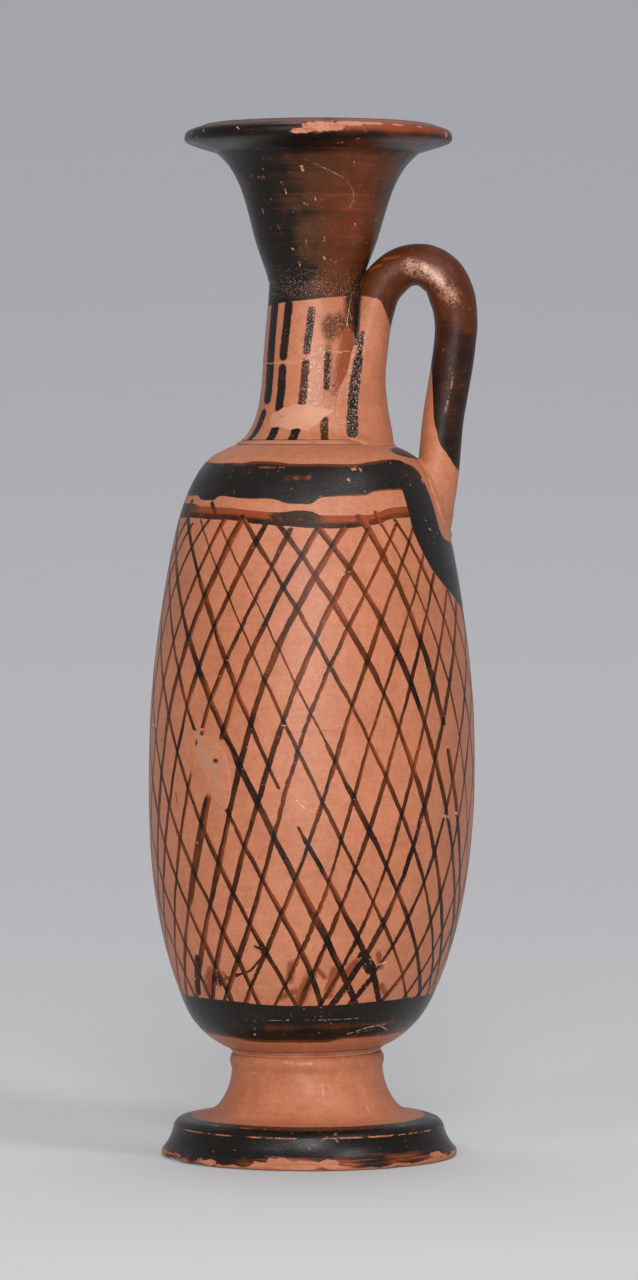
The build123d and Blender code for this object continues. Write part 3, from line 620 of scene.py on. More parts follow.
def wall(node, height, inner=False):
    """Radius of a node's outer or inner wall at a height, read at the back of the pot."""
    way = Vector((math.sin(BACK_TURN), math.cos(BACK_TURN), 0.0))
    foot = Vector((0.0, 0.0, height * MM))
    start = foot if inner else foot + way * FAR * MM
    found, place, _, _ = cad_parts[node].ray_cast(start, way if inner else -way)
    if not found:
        raise RuntimeError(f"{node} has no wall at {height:.2f} mm")
    return math.hypot(place.x, place.y) / MM


def climb(node, low, high, shares, inner=False):
    """Stations (radius, height) of a wall between two levels."""
    heights = [min(max(low + (high - low) * share, low + NUDGE), high - NUDGE) for share in shares]
    return [(wall(node, height, inner), height) for height in heights]


def wall_top(node):
    """Height of the ceiling over the axis of a node's hollow, from below."""
    start = Vector((OFF_AXIS, OFF_AXIS, -FAR_BELOW)) * MM
    found, place, _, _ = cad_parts[node].ray_cast(start, Vector((0.0, 0.0, 1.0)))
    if not found:
        raise RuntimeError(f"{node} has no ceiling")
    return place.z / MM


def radius_of(stations):
    """Outer radius by height, for one wall."""
    levels = [station[1] for station in stations]
    radii = [station[0] for station in stations]
    return lambda heights: np.interp(heights, levels, radii)


def fresh(piece, name):
    """Name a new piece and leave it alone selected."""
    piece.name = name
    piece.data.name = name
    bpy.ops.object.select_all(action="DESELECT")
    piece.select_set(True)
    bpy.context.view_layer.objects.active = piece
    return piece


def begin(name, add, **settings):
    """Add one primitive with nothing else selected, and name it."""
    bpy.ops.object.select_all(action="DESELECT")
    add(**settings)
    return fresh(bpy.context.object, name)


def open_mesh():
    """Go into edit mode with every vertex selected."""
    bpy.ops.object.mode_set(mode="EDIT")
    bpy.ops.mesh.select_mode(type="VERT")
    bpy.ops.mesh.select_all(action="SELECT")


def finish_mesh(piece, levels):
    """Merge doubles, turn faces outwards and subdivide."""
    open_mesh()
    bpy.ops.mesh.remove_doubles(threshold=MERGE * MM)
    bpy.ops.mesh.normals_make_consistent(inside=False)
    bpy.ops.object.mode_set(mode="OBJECT")
    smooth = piece.modifiers.new("Smooth", "SUBSURF")
    smooth.levels = levels
    smooth.render_levels = levels
    bpy.ops.object.modifier_apply(modifier=smooth.name)
    bpy.ops.object.shade_smooth()


def thicken(piece, label, depth):
    """Give a skin its thickness, inwards."""
    body = piece.modifiers.new(label, "SOLIDIFY")
    body.thickness = depth * MM
    body.offset = -1.0
    bpy.ops.object.modifier_apply(modifier=body.name)


def throw(name, stations, steps):
    """Turn a closed outline on the wheel: a ring drawn up from station to station."""
    piece = begin(name, bpy.ops.mesh.primitive_circle_add, vertices=steps, radius=stations[0][0] * MM,
                  fill_type="NOTHING")
    open_mesh()
    bpy.ops.transform.translate(value=(0.0, 0.0, stations[0][1] * MM))
    for (radius, height), (wider, higher) in zip(stations, stations[1:]):
        step = (0.0, 0.0, (higher - height) * MM)
        bpy.ops.mesh.extrude_region_move(TRANSFORM_OT_translate={"value": step})
        grow = wider / radius
        bpy.ops.transform.resize(value=(grow, grow, 1.0), center_override=(0.0, 0.0, higher * MM))
    bpy.ops.mesh.select_all(action="SELECT")
    bpy.ops.mesh.remove_doubles(threshold=MERGE * MM)
    bpy.ops.mesh.select_all(action="SELECT")
    bpy.ops.mesh.fill_holes(sides=0)
    bpy.ops.object.mode_set(mode="OBJECT")
    finish_mesh(piece, ROUNDS)
    return piece


def read_vertices(piece, what):
    """Places or normals of a piece's vertices, as they are kept."""
    flat = np.empty(len(piece.data.vertices) * 3)
    piece.data.vertices.foreach_get(what, flat)
    return flat.reshape(-1, 3)


def places(piece):
    """Vertex places of a piece in millimetres."""
    return read_vertices(piece, "co") / MM


def outward(piece):
    """Vertex normals of a piece."""
    return read_vertices(piece, "normal")


def settle(piece, spots):
    """Put vertices back, in millimetres."""
    piece.data.vertices.foreach_set("co", (spots * MM).ravel())
    piece.data.update()


def azimuths(spots):
    """Azimuth of each place, in degrees from the front towards the handle."""
    return np.degrees(np.arctan2(spots[:, 0], -spots[:, 1]))


def ripple(spots, size):
    """Smooth noise between about -1 and 1 at each place, with features of a size in millimetres."""
    return np.array([noise.noise(Vector(spot) / size) for spot in spots])


def counts(items, what):
    """One whole number from each item of a mesh."""
    values = np.empty(len(items), dtype=np.int32)
    items.foreach_get(what, values)
    return values


def corner_azimuths(mesh, spots):
    """Vertex and azimuth of each corner, with no jump inside a face at the back of the pot."""
    vertices = counts(mesh.loops, "vertex_index")
    starts = np.repeat(counts(mesh.polygons, "loop_start"), counts(mesh.polygons, "loop_total"))
    angles = azimuths(spots)[vertices]
    lead = angles[starts]
    angles = np.where(angles - lead > 180.0, angles - 360.0, angles)
    angles = np.where(angles - lead < -180.0, angles + 360.0, angles)
    return vertices, angles


def note(mesh, name, domain, values):
    """Keep a vector with each corner or point of a mesh for its material to read."""
    kept = mesh.attributes.new(name, "FLOAT_VECTOR", domain)
    kept.data.foreach_set("vector", np.ascontiguousarray(values, dtype=np.float32).ravel())


def wander(spots):
    """Move places by the drift of the axis, the tilt of the base and the fuller parts of the wall."""
    share = bpy.context.scene.lekythos_form.wander
    moved = spots.copy()
    moved[:, 2] += share * np.interp(spots[:, 2], TILT_LEVELS, TILT, 0.0, 0.0) * spots[:, 0]
    moved[:, 2] += share * np.interp(spots[:, 2], LIFT_LEVELS, LIFT)
    girth = np.maximum(np.hypot(spots[:, 0], spots[:, 1]), POLE)
    swell = share * np.interp(spots[:, 2], SWELL_LEVELS, SWELL) / girth
    moved[:, :2] += spots[:, :2] * swell[:, None]
    moved[:, 0] += share * np.interp(spots[:, 2], DRIFT_LEVELS, DRIFT)
    return moved


def chipped(spots, facing, chips):
    """Sink chips into a wall; gives the new places and how bare each vertex is."""
    angles = azimuths(spots)
    girth = np.hypot(spots[:, 0], spots[:, 1])
    bare = np.zeros(len(spots))
    sunk = spots.copy()
    outer = (facing[:, 0] * spots[:, 0] + facing[:, 1] * spots[:, 1]) > CHIP_TURN * girth
    for azimuth, height, wide, tall, depth in chips:
        turn = (angles - azimuth + 180.0) % 360.0 - 180.0
        along = np.radians(turn) * girth
        beside = np.abs(along) < 2.0 * wide + CHIP_MARGIN
        level = np.abs(spots[:, 2] - height) < 2.0 * tall + CHIP_MARGIN
        chosen = np.flatnonzero(beside & level & outer)
        if not len(chosen):
            continue
        rough = sum(share * ripple(spots[chosen], size) for share, size in CHIP_RAGGED)
        reach = np.hypot(along[chosen] / wide, (spots[chosen, 2] - height) / tall) + rough
        cut = np.clip((1.0 - reach) / CHIP_BEVEL, 0.0, 1.0)
        floor = depth * cut * (CHIP_FLOOR + CHIP_PITS * ripple(spots[chosen], CHIP_PIT))
        sunk[chosen] -= facing[chosen] * floor[:, None]
        bare[chosen] = np.maximum(bare[chosen], cut)
    return sunk, bare


def dress(piece, chips=(), body_radius=None, net=False, uneven=0.03):
    """Chip, note and warp a finished mesh, and hang it on the frame's body."""
    spots = places(piece)
    facing = outward(piece)
    true = spots.copy()
    spots, bare = chipped(spots, facing, chips)
    lumps = uneven * ripple(true, LUMP) + FINE_SHARE * uneven * ripple(true, FINE_LUMP)
    spots += facing * lumps[:, None]
    vertices, angles = corner_azimuths(piece.data, true)
    girth = np.hypot(true[:, 0], true[:, 1])
    wheel = (angles, true[vertices, 2], girth[vertices])
    note(piece.data, "wheel", "CORNER", np.column_stack(wheel))
    outside = np.ones(len(true))
    if body_radius is not None:
        outside = (girth > body_radius(true[:, 2]) - PAINT_DEPTH).astype(float)
    note(piece.data, "state", "POINT", np.column_stack((bare, outside, np.zeros(len(true)))))
    if net:
        note(piece.data, "rising", "CORNER", net_places(*wheel, RISING, RISING_TOUCHES))
        note(piece.data, "falling", "CORNER", net_places(*wheel, FALLING, FALLING_TOUCHES))
    settle(piece, wander(spots))
    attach(piece, "root")


def whole_net(front, count):
    """Carry the net on round the back of the pot, where the lines are spaced between the last and the first
    front line, each straying a little.
    """
    lines = [np.array(line) for line in front]
    first, last = lines[0].copy(), lines[-1].copy()
    first[:PLACES] += 360.0
    behind = count - len(front)
    for step in range(1, behind + 1):
        share = step / (behind + 1)
        line = last * (1.0 - share) + first * share
        line[:PLACES] += BACK_STRAY * math.sin(STRAY_BEAT * step + STRAY_START)
        line[LINE_WIDTH] = BACK_WIDTH + WIDTH_CHANGE * math.sin(WIDTH_BEAT * step)
        line[LINE_TOP] = BACK_TOP + TOP_CHANGE * math.sin(TOP_BEAT * step)
        lines.append(line)
    return lines


RISING = whole_net(RISING_LINES, RISING_COUNT)
FALLING = whole_net(FALLING_LINES, FALLING_COUNT)


def net_places(angles, heights, girths, lines, touches):
    """For each corner: which line it is near (as a running count), the gap there, and the line's width."""
    count = len(lines)
    curves = [np.polyfit(NET_LEVELS, line[:PLACES], PLACES - 1) for line in lines]
    widths = np.array([line[LINE_WIDTH] for line in lines])
    tops = np.array([line[LINE_TOP] for line in lines])
    result = np.zeros((len(angles), 3))
    result[:, 2] = LOST
    levels = np.round(heights, 3)
    for level in np.unique(levels):
        if not NET_FOOT - NET_MARGIN < level < NET_TOP + NET_MARGIN:
            continue
        chosen = np.flatnonzero(levels == level)
        stand = min(max(level, CURVE_FOOT), CURVE_TOP)
        at = np.array([np.polyval(curve, stand) for curve in curves])
        lean = np.array([np.polyval(np.polyder(curve), stand) for curve in curves])
        turns = np.concatenate((at - 360.0, at, at + 360.0))
        turns = np.maximum.accumulate(turns + np.arange(len(turns)) * LINE_STEP)
        running = np.arange(-count, 2 * count, dtype=float)
        index = np.interp(angles[chosen], turns, running)
        left = np.clip(np.floor(index).astype(int) + count, 0, len(turns) - 2)
        girth = girths[chosen].mean()
        slant = np.radians(np.abs(lean).mean()) * girth
        gap = np.radians(turns[left + 1] - turns[left]) * girth / math.hypot(1.0, slant)
        nearest = np.round(index).astype(int) % count
        width = np.where(level > tops[nearest], LOST, widths[nearest])
        for line, low, high, factor in touches:
            if low <= level <= high:
                hit = nearest == line
                width[hit] = width[hit] * factor
        result[chosen] = np.column_stack((index, gap, width))
    return result


def lay_fill(name, outline, radius, crown):
    """A plaster fill: an outline drawn in on itself, laid on the wall and thickened inwards."""
    ring = smooth_ring(outline, FILL_STEPS)
    middle = ring.mean(axis=0)
    piece = begin(name, bpy.ops.mesh.primitive_circle_add, vertices=len(ring), radius=1.0,
                  fill_type="NOTHING")
    for vertex, (azimuth, height) in zip(piece.data.vertices, ring):
        vertex.co = (azimuth - middle[0], height - middle[1], 0.0)
    open_mesh()
    for last, share in zip(FILL_RINGS, FILL_RINGS[1:]):
        bpy.ops.mesh.extrude_region_move()
        shrink = share / last
        bpy.ops.transform.resize(value=(shrink, shrink, 1.0), center_override=(0.0, 0.0, 0.0))
    bpy.ops.mesh.edge_face_add()
    bpy.ops.object.mode_set(mode="OBJECT")
    flat = read_vertices(piece, "co")
    edge = np.repeat(FILL_RINGS, len(ring))
    angle = np.radians(flat[:, 0] + middle[0])
    height = flat[:, 1] + middle[1]
    radii = radius(height) + crown * (1.0 - edge ** FILL_SQUARE) - FILL_TUCK * (edge == FILL_RINGS[0])
    spots = np.column_stack((radii * np.sin(angle), -radii * np.cos(angle), height))
    settle(piece, spots)
    finish_mesh(piece, FINE_ROUNDS)
    if np.sum(outward(piece)[:, :2] * places(piece)[:, :2]) < 0.0:
        open_mesh()
        bpy.ops.mesh.flip_normals()
        bpy.ops.object.mode_set(mode="OBJECT")
    thicken(piece, "Body of the plaster", FILL_THICK)
    return piece


def smooth_ring(outline, count):
    """Even points round a closed outline, with its corners eased."""
    corners = np.array(outline)
    closed = np.vstack((corners, corners[:1]))
    run = np.concatenate(([0.0], np.cumsum(np.hypot(*np.diff(closed, axis=0).T))))
    steps = np.linspace(0.0, run[-1], count, endpoint=False)
    ring = np.column_stack([np.interp(steps, run, closed[:, axis]) for axis in (0, 1)])
    for _ in range(FILL_EASING):
        ring = 0.5 * ring + 0.25 * (np.roll(ring, 1, axis=0) + np.roll(ring, -1, axis=0))
    return ring


# Paint and clay

class Mixer:
    """Places shader nodes in one tree and hands back their outputs."""

    def __init__(self, tree):
        self.tree = tree

    def add(self, kind, sockets=None, **settings):
        made = self.tree.nodes.new(kind)
        for name, value in settings.items():
            setattr(made, name, value)
        for key, value in (sockets or {}).items():
            self.feed(made.inputs[key], value)
        return made

    def feed(self, socket, value):
        if isinstance(value, bpy.types.NodeSocket):
            self.tree.links.new(value, socket)
        elif hasattr(value, "__len__"):
            kept = tuple(value)
            socket.default_value = kept + (1.0,) if len(kept) == 3 and socket.type == "RGBA" else kept
        else:
            socket.default_value = value

    def math(self, operation, *values):
        return self.add("ShaderNodeMath", dict(enumerate(values)), operation=operation).outputs[0]

    def chain(self, operation, values):
        total = values[0]
        for value in values[1:]:
            total = self.math(operation, total, value)
        return total

    def plus(self, *values):
        return self.chain("ADD", values)

    def less(self, first, second):
        return self.math("SUBTRACT", first, second)

    def times(self, *values):
        return self.chain("MULTIPLY", values)

    def most(self, *values):
        return self.chain("MAXIMUM", values)

    def apart(self, first, second):
        return self.math("ABSOLUTE", self.less(first, second))

    def clear_of(self, mask):
        return self.less(1.0, mask)

    def ramp(self, value, start, end, low=0.0, high=1.0):
        sockets = {"Value": value, "From Min": start, "From Max": end, "To Min": low, "To Max": high}
        return self.add("ShaderNodeMapRange", sockets, interpolation_type="SMOOTHSTEP").outputs[0]

    def split(self, vector):
        return self.add("ShaderNodeSeparateXYZ", {0: vector}).outputs

    def join(self, *parts):
        return self.add("ShaderNodeCombineXYZ", dict(enumerate(parts))).outputs[0]

    def stretch(self, vector, factors):
        return self.add("ShaderNodeVectorMath", {0: vector, 1: factors}, operation="MULTIPLY").outputs[0]

    def grain(self, vector, scale, detail=2.0, roughness=0.5):
        sockets = {"Vector": vector, "Scale": scale, "Detail": detail, "Roughness": roughness}
        return self.add("ShaderNodeTexNoise", sockets).outputs[0]

    def cells(self, vector, scale):
        return self.add("ShaderNodeTexVoronoi", {"Vector": vector, "Scale": scale}).outputs["Distance"]

    def swing(self, vector, scale, size, detail=2.0):
        return self.times(self.less(self.grain(vector, scale, detail), 0.5), size)

    def mix(self, factor, first, second):
        return self.add("ShaderNodeMix", {0: factor, 2: first, 3: second}, data_type="FLOAT").outputs[0]

    def tint(self, factor, first, second):
        return self.add("ShaderNodeMix", {0: factor, 6: first, 7: second}, data_type="RGBA").outputs[2]

    def drawn(self, value, places):
        """A height read off a curve drawn through a few given places."""
        starts = [place[0] for place in places]
        heights = [place[1] for place in places]
        low, tall = min(heights), max(heights) - min(heights)
        wide = starts[-1] - starts[0]
        share = self.times(self.less(value, starts[0]), 1.0 / wide)
        curve = self.add("ShaderNodeFloatCurve", {"Value": share})
        knots = curve.mapping.curves[0].points
        for _ in range(len(places) - len(knots)):
            knots.new(0.5, 0.5)
        for knot, (start, height) in zip(knots, places):
            knot.location = ((start - starts[0]) / wide, (height - low) / tall)
            knot.handle_type = "AUTO_CLAMPED"
        curve.mapping.update()
        return self.plus(self.times(curve.outputs[0], tall), low)

    def seen(self):
        """One where a surface is looked at, and nothing where it only lights or shades."""
        path = self.add("ShaderNodeLightPath").outputs
        return self.most(path["Is Camera Ray"], path["Is Glossy Ray"], path["Is Transmission Ray"])

    def use(self, group, **sockets):
        placed = self.add("ShaderNodeGroup", node_tree=bpy.data.node_groups[group])
        for name, value in sockets.items():
            self.feed(placed.inputs[name.replace("_", " ")], value)
        return placed.outputs


def new_group(name, inputs, outputs):
    """An empty shader node group with its sockets; gives its mixer, inputs and outputs."""
    tree = bpy.data.node_groups.new(name, "ShaderNodeTree")
    for label, kind in inputs:
        tree.interface.new_socket(name=label, in_out="INPUT", socket_type=kind)
    for label, kind in outputs:
        tree.interface.new_socket(name=label, in_out="OUTPUT", socket_type=kind)
    mixer = Mixer(tree)
    return mixer, mixer.add("NodeGroupInput").outputs, mixer.add("NodeGroupOutput").inputs


NUMBER, VECTOR, COLOUR = "NodeSocketFloat", "NodeSocketVector", "NodeSocketColor"
SURFACE = [("Color", COLOUR), ("Roughness", NUMBER), ("Height", NUMBER)]


def hand_wobble_group():
    """Unsteadiness of a brushed edge, in millimetres."""
    mixer, given, result = new_group(
        "Hand wobble", [("Vector", VECTOR), ("Broad", NUMBER), ("Fine", NUMBER)], [("Offset", NUMBER)])
    broad = mixer.times(mixer.less(mixer.grain(given["Vector"], 0.16, 1.0), 0.5), given["Broad"], 2.0)
    fine = mixer.times(mixer.less(mixer.grain(given["Vector"], 1.3, 3.0, 0.65), 0.5), given["Fine"], 2.0)
    mixer.feed(result["Offset"], mixer.plus(broad, fine))


def fired_clay_group():
    """Orange clay with faint wheel lines, cloudy colour, grit and a few pale specks."""
    mixer, given, result = new_group(
        "Fired clay", [("Vector", VECTOR), ("Pale", COLOUR), ("Deep", COLOUR)], SURFACE)
    place = given["Vector"]
    cloud = mixer.grain(place, 0.05, 3.0)
    patch = mixer.grain(place, 0.35, 4.0, 0.6)
    wheel = mixer.grain(mixer.stretch(place, (0.05, 0.05, 1.7)), 1.0, 3.0, 0.6)
    grit = mixer.grain(place, 3.4, 3.0, 0.65)
    mottle = mixer.grain(place, 1.1, 3.0, 0.6)
    depth = mixer.plus(mixer.times(cloud, 0.3), mixer.times(patch, 0.25), mixer.times(wheel, 0.15),
                       mixer.times(mottle, 0.3))
    body = mixer.tint(mixer.ramp(depth, 0.36, 0.64), given["Deep"], given["Pale"])
    body = mixer.tint(mixer.ramp(grit, 0.6, 0.32, 0.0, 0.55), body, given["Deep"])
    speck = mixer.cells(place, 0.42)
    body = mixer.tint(mixer.times(mixer.ramp(speck, 0.09, 0.04), 0.5), body, BURNT_SPECK)
    fleck = mixer.cells(mixer.stretch(place, (1.0, 1.0, 1.7)), 0.23)
    body = mixer.tint(mixer.times(mixer.ramp(fleck, 0.05, 0.025), 0.5), body, CHALK_AND_GLINT)
    mixer.feed(result["Color"], body)
    even = mixer.plus(mixer.times(patch, 0.4), mixer.times(grit, 0.6))
    mixer.feed(result["Roughness"], mixer.ramp(even, 0.32, 0.68, 0.38, 0.58))
    mixer.feed(result["Height"], mixer.plus(
        mixer.times(wheel, 0.5), mixer.times(grit, 0.75), mixer.times(patch, 0.5)))


def fired_slip_group():
    """Gloss slip: black where thick, brown and red where the brush left it thin."""
    mixer, given, result = new_group(
        "Fired slip", [("Vector", VECTOR), ("Thinness", NUMBER), ("Grain", NUMBER), ("Thick", COLOUR),
                       ("Even", COLOUR), ("Thin", COLOUR)], SURFACE)
    place = given["Vector"]
    brush = mixer.grain(mixer.stretch(place, (0.07, 0.07, 1.5)), 1.0, 4.0, 0.65)
    cloud = mixer.grain(place, 0.2, 3.0, 0.55)
    spark = mixer.grain(place, 3.0, 2.0, 0.7)
    thin = mixer.plus(given["Thinness"], mixer.times(mixer.less(brush, 0.5), 0.3),
                      mixer.times(mixer.less(cloud, 0.5), 0.5))
    body = mixer.tint(mixer.ramp(thin, 0.08, 0.5), given["Thick"], given["Even"])
    body = mixer.tint(mixer.ramp(thin, 0.45, 1.0), body, given["Thin"])
    mixer.feed(result["Color"], body)
    uneven = mixer.times(mixer.less(spark, 0.5), given["Grain"], 0.25)
    mixer.feed(result["Roughness"], mixer.plus(mixer.ramp(cloud, 0.3, 0.7, 0.25, 0.36), uneven))
    relief = mixer.plus(mixer.times(brush, 0.3), mixer.times(spark, given["Grain"], 2.6))
    mixer.feed(result["Height"], relief)


def brush_lines_group():
    """One family of net lines, from a note of the nearest line, the gap and the width."""
    mixer, given, result = new_group(
        "Brush lines", [("Vector", VECTOR), ("Line", VECTOR)], [("Mask", NUMBER), ("Thinness", NUMBER)])
    parts = mixer.split(given["Line"])
    place = given["Vector"]
    off = mixer.times(mixer.less(parts[0], mixer.math("ROUND", parts[0])), parts[1])
    off = mixer.plus(off, mixer.swing(place, 0.22, 0.5, 1.0))
    apart = mixer.plus(mixer.math("ABSOLUTE", off), mixer.swing(place, 1.9, 0.16, 3.0))
    swell = mixer.ramp(mixer.grain(place, 0.1, 1.0), 0.3, 0.7, 0.68, 1.0)
    half = mixer.times(parts[2], swell, 0.5)
    mixer.feed(result["Mask"], mixer.ramp(mixer.less(apart, half), 0.045, -0.045))
    run = mixer.ramp(mixer.grain(place, 0.07, 2.0), 0.42, 0.68, -0.1, 0.24)
    side = mixer.times(mixer.ramp(mixer.math("DIVIDE", off, mixer.most(half, 0.1)), -0.3, 0.5),
                       mixer.ramp(mixer.grain(place, 0.09, 1.0), 0.46, 0.6), 0.5)
    mixer.feed(result["Thinness"], mixer.plus(mixer.ramp(parts[2], 0.5, 1.3, 0.46, 0.32), run, side))


def painted_band_group():
    """A band between two heights, with unsteady edges."""
    mixer, given, result = new_group(
        "Painted band", [("Height", NUMBER), ("Wobble", NUMBER), ("Low", NUMBER), ("High", NUMBER)],
        [("Mask", NUMBER), ("Above", NUMBER), ("Below", NUMBER)])
    level = mixer.plus(given["Height"], given["Wobble"])
    above = mixer.less(level, given["Low"])
    below = mixer.less(given["High"], level)
    mixer.feed(result["Mask"], mixer.ramp(mixer.math("MINIMUM", above, below), -0.06, 0.06))
    mixer.feed(result["Above"], above)
    mixer.feed(result["Below"], below)


def oval_spot_group():
    """An oval on the wall with an unsteady edge: a blot, a chip or a stain."""
    mixer, given, result = new_group(
        "Oval spot",
        [("Wheel", VECTOR), ("Wobble", NUMBER), ("Azimuth", NUMBER), ("Level", NUMBER), ("Wide", NUMBER),
         ("Tall", NUMBER), ("Soft", NUMBER)], [("Mask", NUMBER)])
    parts = mixer.split(given["Wheel"])
    along = mixer.times(mixer.less(parts[0], given["Azimuth"]), parts[2], DEGREE)
    across = mixer.math("DIVIDE", along, given["Wide"])
    upright = mixer.math("DIVIDE", mixer.less(parts[1], given["Level"]), given["Tall"])
    reach = mixer.math("SQRT", mixer.plus(mixer.times(across, across), mixer.times(upright, upright)))
    small = mixer.math("MINIMUM", given["Wide"], given["Tall"])
    edge = mixer.plus(mixer.times(mixer.less(reach, 1.0), small), given["Wobble"])
    mixer.feed(result["Mask"], mixer.ramp(edge, given["Soft"], mixer.times(given["Soft"], -1.0)))


def drawn_line_group():
    """One straight stroke or scratch between two places on the wall."""
    mixer, given, result = new_group(
        "Drawn line",
        [("Wheel", VECTOR), ("Wobble", NUMBER), ("Start azimuth", NUMBER), ("Start level", NUMBER),
         ("End azimuth", NUMBER), ("End level", NUMBER), ("Wide", NUMBER), ("Soft", NUMBER)],
        [("Mask", NUMBER)])
    parts = mixer.split(given["Wheel"])
    girth = mixer.times(parts[2], DEGREE)
    along = mixer.times(mixer.less(parts[0], given["Start azimuth"]), girth)
    above = mixer.less(parts[1], given["Start level"])
    run = mixer.times(mixer.less(given["End azimuth"], given["Start azimuth"]), girth)
    rise = mixer.less(given["End level"], given["Start level"])
    length = mixer.plus(mixer.times(run, run), mixer.times(rise, rise))
    share = mixer.math("DIVIDE", mixer.plus(mixer.times(along, run), mixer.times(above, rise)), length)
    share = mixer.math("MINIMUM", mixer.most(share, 0.0), 1.0)
    aside = mixer.less(along, mixer.times(share, run))
    astray = mixer.less(above, mixer.times(share, rise))
    gap = mixer.math("SQRT", mixer.plus(mixer.times(aside, aside), mixer.times(astray, astray)))
    edge = mixer.plus(mixer.less(gap, mixer.times(given["Wide"], 0.5)), given["Wobble"])
    mixer.feed(result["Mask"], mixer.ramp(edge, given["Soft"], mixer.times(given["Soft"], -1.0)))


def flaking_group():
    """Pinholes and small flakes where slip has come away."""
    mixer, given, result = new_group(
        "Flaking", [("Vector", VECTOR), ("Amount", NUMBER)], [("Mask", NUMBER)])
    place = given["Vector"]
    cells = mixer.cells(place, 0.5)
    rough = mixer.grain(place, 2.4, 3.0, 0.7)
    size = mixer.times(mixer.ramp(mixer.grain(place, 0.13, 2.0), 0.54, 0.74), 0.16)
    ragged = mixer.plus(cells, mixer.times(mixer.less(rough, 0.5), 0.5))
    holes = mixer.ramp(mixer.less(ragged, size), 0.03, -0.01)
    flakes = mixer.ramp(mixer.plus(rough, mixer.times(mixer.grain(place, 0.4, 3.0, 0.6), 0.6)), 1.0, 1.05)
    dust = mixer.plus(mixer.cells(place, 0.62), mixer.swing(place, 4.0, 0.25))
    specks = mixer.times(mixer.ramp(dust, 0.12, 0.06), mixer.ramp(mixer.grain(place, 0.2, 2.0), 0.48, 0.56))
    mixer.feed(result["Mask"], mixer.times(mixer.most(holes, flakes, specks), given["Amount"]))


GROUPS = (
    hand_wobble_group, fired_clay_group, fired_slip_group, brush_lines_group, painted_band_group,
    oval_spot_group, drawn_line_group, flaking_group,
)


def colours():
    """The clay and slip colours as group sockets."""
    paint = bpy.context.scene.lekythos_paint
    clay = {"Pale": paint.clay_pale, "Deep": paint.clay_deep}
    slip = {"Thick": paint.slip_black, "Even": paint.slip_brown, "Thin": paint.slip_red}
    return clay, slip


